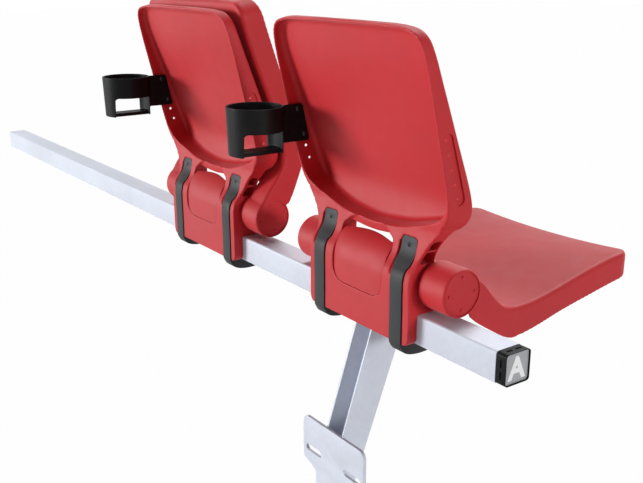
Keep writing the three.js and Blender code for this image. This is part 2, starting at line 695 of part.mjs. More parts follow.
function panRibs() {
  const below = panBlock(0, PAN.wall + PAN_RIB.depth, PAN.reach);
  const layer = panBlock(PAN.wall / 2, PAN.wall / 2, OVERRUN).subtract(below);
  const half = PAN_RIB.wall / 2;
  const depth = PAN.reach;
  const long = RIB_SHARES.long.map((share) => {
    const x = share * PAN.halfWidth;
    return box(x - half, x + half, -depth, -PAN.clear, -depth, depth);
  });
  const cross = RIB_SHARES.cross.map((share) => {
    const y = -share * PAN.reach;
    return box(-PAN.halfWidth, PAN.halfWidth, y - half, y + half, -depth, depth);
  });
  return layer.intersect(join(...long, ...cross));
}

function fillet(radius, x, corner, from, to) {
  return [...Array(FILLET_STEPS + 1).keys()].map((i) => {
    const turn = from + ((to - from) * i) / FILLET_STEPS;
    return [radius + corner * Math.cos(turn), x + corner * Math.sin(turn)];
  });
}

function hubDrum() {
  const { radius, inner, outer, innerFillet, outerFillet } = HUB;
  return turnedX([
    [0, inner],
    ...fillet(radius - innerFillet, inner + innerFillet, innerFillet, -RIGHT_ANGLE, 0),
    ...fillet(radius - outerFillet, outer - outerFillet, outerFillet, 0, RIGHT_ANGLE),
    [0, outer],
  ]);
}

function stopRibs() {
  const { lug, at, play } = COLLAR_DEGREES;
  const half = lug / 2;
  const mouth = HUB.outer - CAP.thickness - GAP;
  return [at + half + play, at - lug - play - HINGE.foldDegrees].map((from) => {
    const shape = sector(COLLAR.radius + COLLAR.play, HUB.radius - HUB.wall / 2, from, from + half);
    return alongX(shape, HUB.inner + HUB.wall / 2, mouth);
  });
}

// The hollow of a hub: a deep drum with the bush's boss and the two stop ribs left standing
function hubHollow() {
  const inside = HUB.radius - HUB.wall;
  const boss = HUB_BORE + HUB.bossWall;
  const bossEnd = HUB.inner + BUSH.length;
  return ringX(boss, inside, HUB.inner + HUB.wall, bossEnd).add(barX(inside, bossEnd, HUB.outer + OVERRUN));
}

function seatPan() {
  const shell = panBlock(0, 0, 0).subtract(panBlock(PAN.wall, PAN.wall, PAN.reach));
  const clear = barX(PAN.clear, -PAN.notch, PAN.notch);
  const body = shell.add(panRibs()).subtract(clear);
  const bore = barX(HUB_BORE, -HUB.outer, HUB.outer);
  const hubs = Object.values(SIDES).map((side) => onSide(hubDrum(), side));
  const hollows = Object.values(SIDES).map((side) => onSide(hubHollow(), side));
  const ribs = Object.values(SIDES).map((side) => onSide(join(...stopRibs()), side));
  return join(body, ...hubs).subtract(join(...hollows)).add(join(...ribs)).subtract(bore);
}

function hubCap(side) {
  const from = HUB.outer - CAP.thickness;
  const disc = barX(HUB.radius - HUB.wall - GAP, from, HUB.outer);
  const pins = PIN_DEGREES.map((degrees) => {
    const [y, z] = polar(CAP.pinCircle, degrees);
    return barX(CAP.pinRadius, from + CAP.pinHeight, HUB.outer + CAP.pinHeight, y, z, COARSE_STEPS);
  });
  return onSide(join(disc, ...pins), side);
}

// Cup holder

// A cone whose foot sways forwards, so that its front stands upright
function cupCone(topRadius, bottomRadius, low, high, steps) {
  const cone = new THREE.CylinderGeometry(topRadius, bottomRadius, high - low, steps).rotateX(RIGHT_ANGLE);
  const sway = CUP.sway / (CUP.top - CUP.bottom);
  const lean = new THREE.Matrix4().makeShear(0, 0, 0, 0, 0, sway);
  const upright = cone.translate(0, 0, (low + high) / 2 - CUP.top);
  return solidOf(upright.applyMatrix4(lean).translate(CUP_X, CUP.y, CUP.top));
}

function wholeCup() {
  return cupCone(CUP_RADIUS.top, CUP_RADIUS.bottom, CUP.bottom, CUP.top, 2 * FINE_STEPS);
}

function cupCut() {
  const { high, halfWidth, corner } = CUP_WINDOW;
  const middle = CUP.y - CUP.sway / 2;
  const reach = CUP_RADIUS.top * 2;
  const shape = roundedRect(middle - halfWidth, CUP.bottom - reach, middle + halfWidth, high, corner);
  return alongX(shape, CUP_X - reach, CUP_X + reach, CORNER_STEPS);
}

function cupInside() {
  const { top, bottom, wall } = CUP;
  return cupCone(CUP_RADIUS.top - wall, CUP_RADIUS.bottom - wall, bottom - GAP, top + GAP, 2 * FINE_STEPS);
}

function cupArm() {
  const { wall, top, bottom, topY, bottomY, reach } = ARM;
  const { radius, ease } = ARM_CORNER;
  const shape = shapeOf([
    [reach, bottom], [reach, top], [topY + radius, top], [topY - ease, top - radius],
    [bottomY, bottom + radius], [bottomY + radius, bottom],
  ]);
  const holes = Object.values(CUP_SCREW_STEPS).map((step) => (
    barX(CUP_SCREW.shank + GAP, ARM_X - wall, ARM_X + wall, ...slotPoint(step), COARSE_STEPS)));
  return alongX(shape, ARM_X - wall / 2, ARM_X + wall / 2).subtract(join(...holes));
}

// A band with its lower middle cut away along X, over a floor strip that joins what is left
function cupHolder() {
  const half = CUP_FLOOR.width / 2;
  const reach = CUP_RADIUS.bottom - CUP.wall / 2;
  const middle = CUP.y - CUP.sway;
  const top = CUP.bottom + CUP_FLOOR.wall;
  const floor = box(CUP_X - half, CUP_X + half, middle - reach, middle + reach, CUP.bottom, top);
  const band = wholeCup().add(cupArm()).subtract(cupInside()).subtract(cupCut());
  return band.add(floor.intersect(wholeCup()));
}

function cupScrew(step) {
  const face = ARM_X - ARM.wall / 2 - GAP;
  const [y, z] = slotPoint(step);
  const head = barX(CUP_SCREW.head, face - CUP_SCREW.headDepth, face, y, z, COARSE_STEPS);
  return head.add(barX(CUP_SCREW.shank, face - GAP, face + CUP_SCREW.reach + GAP, y, z, COARSE_STEPS));
}

// Beam, its end cap and sign, and the riser bracket

function square(half, corner) {
  return roundedRect(-half, -half, half, half, corner);
}

function beam() {
  const half = BEAM.side / 2;
  const outline = square(half, BEAM.corner);
  outline.holes.push(square(half - BEAM.wall, BEAM.corner - BEAM.wall));
  return alongX(outline, -ROW.endReach, BAY_COUNT * ROW.pitch + ROW.endReach, CORNER_STEPS);
}

function endCap() {
  const face = -ROW.endReach - END_CAP.reach;
  const seat = -ROW.endReach - GAP;
  const half = BEAM.side / 2;
  const plugHalf = half - BEAM.wall - END_CAP.slack;
  const signHalf = half - END_CAP.frame;
  const head = alongX(square(half - END_CAP.edge, END_CAP.corner - END_CAP.edge), face, seat, CORNER_STEPS);
  const band = alongX(square(half, END_CAP.corner), face + END_CAP.edge, seat, CORNER_STEPS);
  const plug = alongX(square(plugHalf, BEAM.corner), seat - GAP, seat + END_CAP.plug, CORNER_STEPS);
  const hollow = box(
    seat + END_CAP.plugWall, seat + END_CAP.plug + OVERRUN,
    END_CAP.plugWall - plugHalf, plugHalf - END_CAP.plugWall,
    END_CAP.plugWall - plugHalf, plugHalf - END_CAP.plugWall,
  );
  const recess = alongX(square(signHalf, SIGN.corner), face - OVERRUN, face + END_CAP.recess, CORNER_STEPS);
  return join(head, band, plug).subtract(hollow).subtract(recess).subtract(endSlots(face, half));
}

// Small slots in the cap's rear side and top
function endSlots(face, half) {
  const middle = face + END_CAP.reach / 2;
  const places = Object.values(SIDES).map((side) => (side * END_SLOT.spacing) / 2);
  const run = END_SLOT.length / 2;
  const wide = END_SLOT.width / 2;
  const floor = half - END_SLOT.depth;
  const rear = places.map((z) => box(middle - wide, middle + wide, floor, half + OVERRUN, z - run, z + run));
  const top = places.map((y) => box(middle - wide, middle + wide, y - run, y + run, floor, half + OVERRUN));
  return join(...rear, ...top);
}

function signPlate() {
  const floor = -ROW.endReach - END_CAP.reach + END_CAP.recess - GAP;
  const half = BEAM.side / 2 - END_CAP.frame - GAP;
  const plate = alongX(square(half, SIGN.corner), floor - SIGN.wall + SIGN.bevel, floor, CORNER_STEPS);
  const inner = square(half - SIGN.bevel, SIGN.corner - SIGN.bevel);
  const face = alongX(inner, floor - SIGN.wall, floor, CORNER_STEPS);
  return plate.add(face);
}

// The bracket's side: it leaves the beam's underside and leans back to the riser plate
function channelShape() {
  const plateY = ROW.setback - PLATE.wall - GAP;
  const top = -BEAM.side - GAP;
  const end = -CHANNEL.drop - (CHANNEL.depth + plateY) / CHANNEL_LEAN_SHARE;
  return shapeOf([
    [0, top], [-CHANNEL.depth, top], [-CHANNEL.depth, -CHANNEL.drop],
    [plateY, end], [plateY, -CHANNEL.plateTop],
  ]);
}

function channelHollow() {
  const plateY = ROW.setback;
  const end = -CHANNEL.drop - (CHANNEL.depth + plateY) / CHANNEL_LEAN_SHARE;
  const front = [[-CHANNEL.depth, 0], [-CHANNEL.depth, -CHANNEL.drop], [plateY, end]];
  const inner = offsetLine(front, CHANNEL.wall);
  return shapeOf([...inner, [plateY * 2, end], [plateY * 2, 0]]);
}

function bracketChannel() {
  const half = CHANNEL.width / 2;
  const inside = half - CHANNEL.wall;
  return alongX(channelShape(), -half, half).subtract(alongX(channelHollow(), -inside, inside));
}

function riserPlate() {
  const { head, stem, top, shoulder, bottom, corner, neck, wall } = PLATE;
  const waist = -shoulder - neck;
  const bend = -shoulder - neck / 2;
  const shape = new THREE.Shape();
  shape.moveTo(-stem / 2, bottom);
  shape.lineTo(stem / 2, bottom);
  shape.lineTo(stem / 2, waist);
  shape.bezierCurveTo(stem / 2, bend, head / 2, bend, head / 2, -shoulder);
  shape.lineTo(head / 2, top - corner);
  shape.absarc(head / 2 - corner, top - corner, corner, 0, RIGHT_ANGLE);
  shape.absarc(corner - head / 2, top - corner, corner, RIGHT_ANGLE, Math.PI);
  shape.lineTo(-head / 2, -shoulder);
  shape.bezierCurveTo(-head / 2, bend, -stem / 2, bend, -stem / 2, waist);
  const run = (PLATE_SLOT.length - PLATE_SLOT.width) / 2;
  const slots = Object.values(SIDES).map((side) => {
    const x = (side * PLATE_SLOT.spacing) / 2;
    return stadium([x - run, 0], [x + run, 0], PLATE_SLOT.width / 2);
  });
  shape.holes.push(...slots);
  return alongY(shape, -wall, 0);
}

// Assembly

function seat(name, place, folded) {
  const group = new THREE.Group();
  group.position.set(place * ROW.pitch, -ROW.setback, ROW.rise);
  group.add(piece(`${name}_backrest`, backrest(), FINISH.shell));
  group.add(piece(`${name}_hinge_cover`, hingeCover(), FINISH.shell));
  group.add(piece(`${name}_cup_holder`, cupHolder(), FINISH.black));
  Object.entries(CUP_SCREW_STEPS).forEach(([word, step]) => {
    group.add(piece(`${name}_cup_screw_${word}`, cupScrew(step), FINISH.screw));
  });
  const pan = new THREE.Group();
  pan.position.set(0, HINGE.y, HINGE.z);
  pan.rotation.x = folded ? -radians(HINGE.foldDegrees) : 0;
  pan.add(piece(`${name}_seat_pan`, seatPan(), FINISH.shell));
  const hinge = new THREE.Group();
  hinge.position.set(0, HINGE.y, HINGE.z);
  hinge.add(piece(`${name}_hinge_axle`, hingeAxle(), FINISH.steel));
  Object.entries(SIDES).forEach(([word, side]) => {
    group.add(piece(`${name}_strap_${word}`, strap(side), FINISH.strap));
    group.add(piece(`${name}_strap_screw_${word}`, strapScrew(side), FINISH.screw));
    hinge.add(piece(`${name}_stop_collar_${word}`, stopCollar(side), FINISH.steel));
    pan.add(piece(`${name}_hub_bush_${word}`, hubBush(side), FINISH.bearing));
    pan.add(piece(`${name}_hub_cap_${word}`, hubCap(side), FINISH.shell));
  });
  group.add(pan, hinge);
  return group;
}

function support() {
  const beamGroup = new THREE.Group();
  beamGroup.position.set(0, -ROW.setback - BEAM.side / 2, ROW.rise - BEAM.side / 2);
  beamGroup.add(piece('beam', beam(), FINISH.steel));
  beamGroup.add(piece('end_cap', endCap(), FINISH.black));
  beamGroup.add(piece('sign_plate', signPlate(), FINISH.sign));
  const bracket = new THREE.Group();
  bracket.position.set(0, -ROW.setback, ROW.rise);
  bracket.add(piece('bracket_channel', bracketChannel(), FINISH.steel));
  const plate = piece('riser_plate', riserPlate(), FINISH.steel);
  const group = new THREE.Group();
  group.add(beamGroup, bracket, plate);
  return group;
}

const row = new THREE.Group();
row.add(support(), seat('near', 0, false), seat('far', 1, true));

export default row;
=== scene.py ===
import json
import math
from types import SimpleNamespace

import bpy
import numpy as np
from bpy.props import FloatProperty, FloatVectorProperty, PointerProperty, StringProperty
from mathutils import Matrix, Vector

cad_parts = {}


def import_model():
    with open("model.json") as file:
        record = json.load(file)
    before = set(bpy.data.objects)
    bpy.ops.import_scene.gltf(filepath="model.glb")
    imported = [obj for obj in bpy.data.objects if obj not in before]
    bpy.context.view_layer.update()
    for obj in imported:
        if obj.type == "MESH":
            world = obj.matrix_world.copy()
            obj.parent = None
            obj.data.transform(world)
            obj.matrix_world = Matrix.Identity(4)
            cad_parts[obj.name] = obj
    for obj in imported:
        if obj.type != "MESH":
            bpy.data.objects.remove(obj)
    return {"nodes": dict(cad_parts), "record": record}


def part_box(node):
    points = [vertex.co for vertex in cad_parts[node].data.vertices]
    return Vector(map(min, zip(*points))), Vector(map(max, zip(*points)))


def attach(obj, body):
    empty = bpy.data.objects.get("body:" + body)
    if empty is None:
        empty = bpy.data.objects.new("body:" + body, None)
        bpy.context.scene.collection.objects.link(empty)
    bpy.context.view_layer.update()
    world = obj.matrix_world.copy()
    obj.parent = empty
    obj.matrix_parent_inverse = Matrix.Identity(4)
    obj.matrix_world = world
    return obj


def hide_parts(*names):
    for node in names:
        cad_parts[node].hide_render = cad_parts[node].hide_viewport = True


bl_info = {
    "name": "Stadium seat row",
    "version": (1, 0, 0),
    "blender": (4, 5, 0),
    "location": "3D View > Sidebar > Seat Row",
    "description": "Dresses a beam-mounted row of tip-up seats",
    "category": "Object",
}

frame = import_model()

MM = 0.001
SIDES = {"left": 1, "right": -1}
BODIES = {"near": "near_pan", "far": "far_pan", "row": "row"}
PHOTO = (643, 483)

# A melted moulding: its cells in millimetres, the faces it is thinned out to, and how its edges are eased
CELL = {"moulding": 1.7, "cup": 0.9}
FACES = {"moulding": 150_000, "cup": 90_000}
EASE_ROUNDS = {"back": 5, "pan": 4, "cup": 3}
EASE_FACTOR = 0.5

# Points round or along the curves
STEPS = {
    "rim": 320, "edge": 8, "face": 26, "pan": 110, "line": 80, "round": 96, "cone": 160, "span": 24,
    "boss": 24, "corner": 8, "wide_corner": 10, "slot": 12, "flank": 40, "seam": 61, "across": 41,
    "quarter": 9, "bend": 16, "cover_across": 97, "cover_up": 73, "small_round": 32, "strap_screw": 48,
    "cup_screw": 40, "ease": 4, "cap_ease": 5, "bead": 20,
}

# In millimetres: the gap between pieces, how far a cutter passes a wall, how far it passes where there is
# less room, and the radius at which a turned shape starts beside its axis
GAP = 0.3
PAST = 4.0
LAP = 1.0
AXIS = 0.01

# Rounded edges: the width in millimetres, the segments, and the degrees above which an edge is rounded
BEVELS = {
    "tube": (0.3, 2, 60), "cap": (0.4, 3, 60), "sign": (0.8, 3, 60), "cover": (0.7, 3, 50),
    "strap": (0.7, 3, 40), "bracket": (1.0, 3, 20), "plate": (0.6, 3, 40),
}
# Degrees above which an edge stays sharp in the shading
SHARP = {"usual": 35, "bent": 40, "weld": 50}

# Details too small to change, in millimetres
AXLE_EASE = 0.6
FLANGE_EASE = 0.5
SOCKET = {"depth": 1.2, "sides": 6}
CROSS_HALF = 0.5
LETTER = {"size": 40, "half_depth": 0.2, "sink": 0.1, "weld": 0.01}
# A weld bead's ripples are shares of its radius, each with its angle for a millimetre of run
BEAD = {"step": 0.5, "ripples": ((0.07, 2.4), (0.05, 0.37)), "least": 0.02, "across": (0.3, 0.5, 0.8)}

# Outlines as shares of the sizes that they follow
OUTLINE_SHARES = [
    (0, 0), (0.23, 0.01), (0.42, 0.025), (0.62, 0.055), (0.79, 0.088), (0.895, 0.122), (0.955, 0.162),
    (0.985, 0.205), (1, 0.28), (1, 0.5), (1, 0.72), (0.99, 0.86), (0.955, 0.935), (0.89, 0.971),
    (0.76, 0.989), (0.42, 0.998),
]
LEG_REAR_SHARES = [
    (1, 0.51), (0.85, 0.62), (0.45, 0.73), (0.15, 0.82), (-0.02, 0.91), (-0.14, 1.02), (-0.25, 1.13),
    (-0.35, 1.27),
]
STRAP_REAR_SHARES = [
    (1, 0.51), (0.85, 0.62), (0.42, 0.73), (0.05, 0.82), (-0.18, 0.91), (-0.3, 1.02), (-0.38, 1.11),
]
LEG_OUTER_SHARES = [(1, 0.78), (1.045, 0.92), (1.135, 1.1), (1.235, 1.24), (1.31, 1.36)]
LEG_INNER_SHARES = [(0.3, 1.2), (0.62, 1.13), (0.84, 1.05), (0.96, 0.99), (1, 0.93)]
FOOT_SHARES = [
    (0, 0.2), (0.08, 0.62), (0.2, 0.84), (0.4, 0.98), (0.6, 1), (0.8, 0.92), (0.94, 0.7), (1, 0.3),
]
PAN_SHARES = [
    (0.041, 0.084, -0.097), (0.073, 0.054, -0.125), (0.121, 0.011, -0.157), (0.174, -0.048, -0.19),
    (0.229, -0.096, -0.222), (0.27, -0.111, -0.238), (0.326, -0.116, -0.236), (0.41, -0.111, -0.223),
    (0.555, -0.084, -0.19), (0.723, -0.048, -0.16), (0.853, -0.026, -0.138), (0.925, -0.018, -0.127),
    (0.955, -0.017, -0.122), (0.98, -0.019, -0.117), (0.994, -0.026, -0.111), (1, -0.04, -0.1),
]
RIB_SHARES = {"long": (-0.6, -0.3, 0, 0.3, 0.6), "cross": (0.36, 0.6, 0.82)}

# The first and last ring of the sitter's face as shares of its outline, and how much closer the pan's
# stations lie towards its front
FACE_SHARES = (0.96, 0.04)
FRONT_SHARE = 0.5

# Slopes: the run across for a run of one in height, or the reverse
LEAN_SHARES = {
    "face": 0.39, "tuck": 0.2, "crest": 0.12, "rim": 0.245, "foot": 0.13, "floor": -0.1, "corner": 0.26,
    "slot": 0.31, "channel": 0.379,
}
HOLE_STEPS = range(5)
CUP_SCREW_STEPS = {"upper": 4, "lower": 2}
PIN_DEGREES = (0, 90, 180, 270)


def length(name, millimetres, description):
    """A size that a user can change, kept in metres."""
    return FloatProperty(
        name=name, description=description, default=millimetres * MM, unit="LENGTH", precision=4)


def linear(colour):
    """A screen colour in 0 to 255 turned to scene light."""
    share = np.asarray(colour, float) / 255
    return tuple(np.where(share <= 0.04045, share / 12.92, ((share + 0.055) / 1.055) ** 2.4).tolist())


def paint(name, colour, description):
    """A colour that a user can change, given as seen on a screen."""
    return FloatVectorProperty(
        name=name, description=description, default=linear(colour), subtype="COLOR", min=0.0, max=1.0)


def seat_pitch():
    """The distance between the two seats' axles, from the frame."""
    return (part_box("far_hinge_axle")[0].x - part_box("near_hinge_axle")[0].x) / MM


class RowSizes(bpy.types.PropertyGroup):
    """The beam, and where a seat's own frame stands: y from the beam's rear face, z from its top"""

    pitch: length("Pitch", seat_pitch(), "From one seat's middle to the next")
    setback: length("Setback", 67.5, "From the riser's face to the beam's rear face")
    rise: length("Rise", 300.0, "From the riser plate's slots up to the beam's top")
    beam: length("Beam", 50.0, "Side of the square tube")
    wall: length("Wall", 2.5, "Wall of the square tube")
    corner: length("Corner", 4.0, "Outer corner radius of the square tube")


class HingeSizes(bpy.types.PropertyGroup):
    """The axle's line and what turns on it"""

    y: length("Place across", -33.0, "Axle's middle, back from the beam's rear face")
    z: length("Height", 47.0, "Axle's middle above the beam's top")
    axle: length("Axle radius", 10.0, "Outer radius of the axle tube")
    axle_bore: length("Axle bore", 6.3, "Inner radius of the axle tube")
    bush: length("Bush radius", 13.8, "Outer radius of a bush's sleeve")
    flange: length("Flange radius", 18.0, "Outer radius of a bush's flange")
    flange_wall: length("Flange wall", 2.4, "Thickness of a bush's flange")
    bush_run: length("Bush length", 12.0, "Length of a bush's sleeve inside the hub")


class BackSizes(bpy.types.PropertyGroup):
    """The moulded back's tray"""

    half: length("Half width", 191.0, "From the middle to a side wall")
    top: length("Top", 444.0, "Height of the rim's top")
    bottom: length("Bottom", 108.5, "Height of the rim's foot")
    wall: length("Wall", 4.0, "Thickness of the side walls")
    foot_wall: length("Foot wall", 5.0, "Added thickness where the wall faces down")
    foot_draft: length("Foot draft", 11.0, "How much further in the foot wall meets the face")
    skin: length("Skin", 4.0, "Thickness of the sitter's face")
    edge: length("Edge", 6.0, "Radius round the front")
    round: length("Inner corner", 10.0, "Radius inside, from a wall to the face")
    dish: length("Dish", 8.0, "How far the face sinks in its middle")
    belly: length("Belly", 180.0, "Height of the face's furthest point")
    belly_y: length("Belly place", -55.0, "The face's furthest point, from the beam's rear face")
    crest: length("Crest", 385.0, "Height where the face eases off")
    blend: length("Blend", 20.0, "Softness of the face's bends")
    rim_level: length("Rim level", 295.0, "Height at which the rim's place is given")
    rim_y: length("Rim place", 27.0, "The rear rim, from the beam's rear face")
    rim_foot: length("Rim foot", 165.0, "Height below which the rim turns back")


class LegSizes(bpy.types.PropertyGroup):
    """The two legs that saddle the beam"""

    inner: length("Inner side", 65.2, "From the middle to a leg's inner side")
    outer: length("Outer side", 131.0, "From the middle to a leg's outer side")
    rear: length("Rear", 20.0, "A leg's rear face, behind the beam")
    front: length("Neck front", 32.0, "A neck's front, ahead of the beam's rear face")
    boss: length("Boss", 34.0, "Radius round the axle")
    lip: length("Lip", 6.0, "How far the saddle's lip stands ahead of the beam")
    drop: length("Lip drop", 8.0, "How far the lip hangs down")
    top: length("Top", 165.0, "Where a neck ends inside the tray")
    toe: length("Toe", 12.0, "Radius of the lower outer corner")
    apron: length("Apron", 3.5, "Wall of the panel between the legs")
    rib: length("Rib", 3.5, "Thickness of the rib across a neck's pocket")
    pocket: length("Pocket", 106.0, "Floor of a neck's pocket, from the middle")
    pocket_low: length("Pocket foot", 82.0, "Lowest point of a neck's pocket")
    pocket_high: length("Pocket top", 121.0, "Highest point of a neck's pocket")
    pocket_skin: length("Pocket skin", 7.0, "Wall behind a neck's pocket")
    pocket_front: length("Pocket front", 3.0, "Wall ahead of a neck's pocket")


class SlotSizes(bpy.types.PropertyGroup):
    """The accessory slot in each side wall"""

    low: length("Lowest hole", 195.5, "Height of the lowest hole")
    pitch: length("Pitch", 22.3, "Height from one hole to the next")
    y: length("Place", -17.5, "The lowest hole, from the beam's rear face")
    width: length("Width", 19.0, "Width of the slot")
    ahead: length("Ahead", 3.0, "How far the slot's middle lies ahead of its holes")
    depth: length("Depth", 2.8, "Depth of the slot")
    bore: length("Bore", 2.5, "Radius of a hole")
    run: length("Run", 1.0, "How far the slot runs past its holes")


class CoverSizes(bpy.types.PropertyGroup):
    """The domed cover between the legs"""

    half: length("Half width", 64.7, "From the middle to an end")
    bottom: length("Seam", 11.0, "Height of the seam")
    top: length("Top", 105.0, "Height of the upper edge")
    reach_y: length("Reach", 53.0, "The dome's reach behind the axle")
    reach_z: length("Height", 62.0, "The dome's reach above the axle")
    wall: length("Wall", 3.0, "Thickness")
    crown: length("Crown", 6.0, "How far the upper edge drops towards the ends")
    roll: length("Roll", 2.5, "How far the ends turn forwards")
    hem: length("Hem", 20.0, "How far the seam rises at the ends")


class ClampSizes(bpy.types.PropertyGroup):
    """The clamp straps and their screws"""

    inner: length("Inner edge", 88.0, "From the middle to a strap's inner edge")
    outer: length("Outer edge", 116.0, "From the middle to a strap's outer edge")
    wall: length("Wall", 3.0, "Thickness")
    foot: length("Foot", 23.0, "How far the crescent hangs under the beam")
    hook: length("Hook", 8.0, "How far the foot stands ahead of the beam")
    hook_rise: length("Hook rise", 6.0, "How far the foot's tip turns up")
    tab_low: length("Tab foot", 74.0, "Height where the strap widens into its tab")
    tab_wide: length("Tab width", 3.5, "How far the tab stands past the strap's edges")
    tab_rise: length("Tab rise", 5.0, "Height over which it widens")
    tab_corner: length("Tab corner", 8.0, "Radius of the tab's upper corners")
    slack: length("Slack", 4.0, "Room beside the tab in its channel")
    slack_low: length("Slack foot", 60.0, "Where that room starts")
    proud: length("Stand", 1.8, "How far a strap stands proud of its leg")
    screw_at: length("Screw", 108.0, "Height of the screw")
    head: length("Screw head", 3.2, "Radius of the screw's head")
    head_depth: length("Head depth", 1.8, "Depth of the screw's head")
    shank: length("Shank", 1.8, "Radius of the shank")
    screw_length: length("Screw length", 20.0, "Length of the screw")
    socket: length("Socket", 1.4, "Radius across the socket's corners")


class PanSizes(bpy.types.PropertyGroup):
    """The seat pan and its hubs"""

    reach: length("Reach", 415.0, "From the axle to the front edge")
    half: length("Half width", 194.0, "From the middle to a side")
    wall: length("Wall", 4.0, "Thickness")
    edge: length("Edge", 8.0, "Radius along the top's edges")
    dish: length("Dish", 7.0, "How far the top sinks in its middle")
    corner: length("Corner", 33.0, "Radius of the front corners seen from above")
    rib: length("Rib", 3.0, "Thickness of the ribs")
    rib_depth: length("Rib depth", 16.0, "Depth of the ribs below the top")
    clear: length("Clearance", 64.0, "Radius kept free round the axle between the hubs")
    notch: length("Notch", 141.0, "Half width of that room")
    hub: length("Hub radius", 39.0, "Radius of a hub's drum")
    hub_inner: length("Hub's inner end", 134.0, "From the middle to a hub's inner end")
    hub_outer: length("Hub's outer end", 194.0, "From the middle to a hub's outer end")
    hub_wall: length("Hub wall", 4.0, "Wall of the drum")
    hub_round: length("Inner round", 5.0, "Radius of the inner end's edge")
    hub_edge: length("Outer round", 4.0, "Radius of the outer end's edge")
    bore: length("Bore", 14.1, "Radius of the hole for a bush")
    cap: length("Cap", 3.0, "Thickness of a hub's cap")
    cap_sink: length("Cap sink", 1.5, "How far a cap's face lies below the hub's end")
    pin: length("Pin", 3.0, "Radius of a pin's head")
    pin_height: length("Pin height", 1.2, "How far a pin's head stands out")
    pin_circle: length("Pin circle", 26.5, "Radius that the pins stand on")


class CupSizes(bpy.types.PropertyGroup):
    """The cup holder, its arm and its screws"""

    x: length("Middle", 205.0, "The band's middle, from the seat's middle")
    y: length("Place", 83.0, "The band's middle, behind the beam's rear face")
    top: length("Top", 293.0, "Height of the band's top")
    bottom: length("Bottom", 210.0, "Height of the band's foot")
    top_radius: length("Top radius", 49.5, "Outer radius at the top")
    bottom_radius: length("Foot radius", 47.5, "Outer radius at the foot")
    wall: length("Wall", 3.0, "Thickness of the band")
    sway: length("Sway", 1.0, "How far the foot stands ahead of the top")
    strip: length("Strip", 35.0, "Width of the floor strip")
    strip_wall: length("Strip wall", 7.0, "Thickness of the floor strip")
    window: length("Window", 39.0, "Half width of the cut-away part")
    window_top: length("Window top", 250.5, "Height of the cut-away part's top")
    window_corner: length("Window corner", 6.0, "Radius of its corners")
    arm_x: length("Arm", 183.5, "The arm's middle, from the seat's middle")
    arm_wall: length("Arm wall", 4.0, "Thickness of the arm")
    arm_bottom: length("Arm foot", 227.5, "Height of the arm's lower edge")
    arm_low_y: length("Arm's lower end", -14.0, "Front end of the lower edge")
    arm_reach: length("Arm reach", 43.0, "Where the arm runs into the band")
    arm_corner: length("Arm corner", 3.0, "Radius of the arm's corners")
    head: length("Screw head", 5.0, "Radius of a screw's head")
    head_depth: length("Head depth", 2.8, "Height of a screw's head")
    shank: length("Shank", 2.2, "Radius of a screw's shank")


class EndSizes(bpy.types.PropertyGroup):
    """The beam's end cap, its sign and the riser bracket"""

    corner: length("Corner", 6.0, "Radius of the cap's corners")
    frame: length("Frame", 0.9, "Width of the cap's rim")
    recess: length("Recess", 4.5, "Depth of the cap's face")
    slot_run: length("Slot length", 12.0, "Length of a small slot")
    slot_width: length("Slot width", 3.5, "Width of a small slot")
    slot_depth: length("Slot depth", 1.6, "Depth of a small slot")
    slot_spacing: length("Slot spacing", 18.0, "From one small slot to the next")
    sign_corner: length("Sign corner", 5.0, "Radius of the sign's corners")
    letter_height: length("Letter height", 36.0, "Height of the letter")
    letter_weight: length("Letter weight", 1.4, "How far the letter's strokes are thickened")
    channel: length("Channel", 45.0, "Width of the bracket")
    channel_wall: length("Channel wall", 4.0, "Wall of the bracket")
    channel_drop: length("Channel drop", 110.0, "Where the bracket starts to lean back")
    channel_plate: length("Channel foot", 238.0, "Where the bracket's sides meet the plate")
    plate_wall: length("Plate wall", 6.0, "Thickness of the riser plate")
    plate_head: length("Plate head", 173.0, "Width of the plate's head")
    plate_stem: length("Plate stem", 98.0, "Width of the plate's stem")
    plate_top: length("Plate top", 60.0, "The plate's top above its slots")
    plate_shoulder: length("Plate shoulder", 18.0, "The shoulder below the slots")
    plate_neck: length("Plate neck", 22.0, "Height of the bend into the stem")
    plate_bottom: length("Plate bottom", 125.0, "The plate's foot below its slots")
    plate_corner: length("Plate corner", 14.0, "Radius of the head's corners")
    plate_slot: length("Plate slot", 45.0, "Length of a fixing slot")
    plate_slot_width: length("Plate slot width", 12.0, "Width of a fixing slot")
    plate_spacing: length("Plate slot spacing", 110.0, "From one fixing slot to the other")
    bead: length("Weld bead", 2.2, "Radius of a weld bead")


class RowColours(bpy.types.PropertyGroup):
    """The finishes' colours"""

    shell: paint("Moulded red", (193, 22, 31), "Backs, pans, covers and hub caps")
    black: paint("Moulded black", (18, 18, 19), "Cup holders and end cap")
    steel: paint("Zinc coat", (224, 228, 239), "Beam and bracket")
    strap: paint("Strap grey", (46, 47, 48), "Clamp straps")
    screw: paint("Black oxide", (40, 40, 42), "Screws")
    bearing: paint("Bearing plastic", (230, 228, 220), "Bushes")
    sign: paint("Sign grey", (176, 176, 179), "The sign's plate")
    letter: paint("Letter white", (255, 255, 255), "The sign's letter")


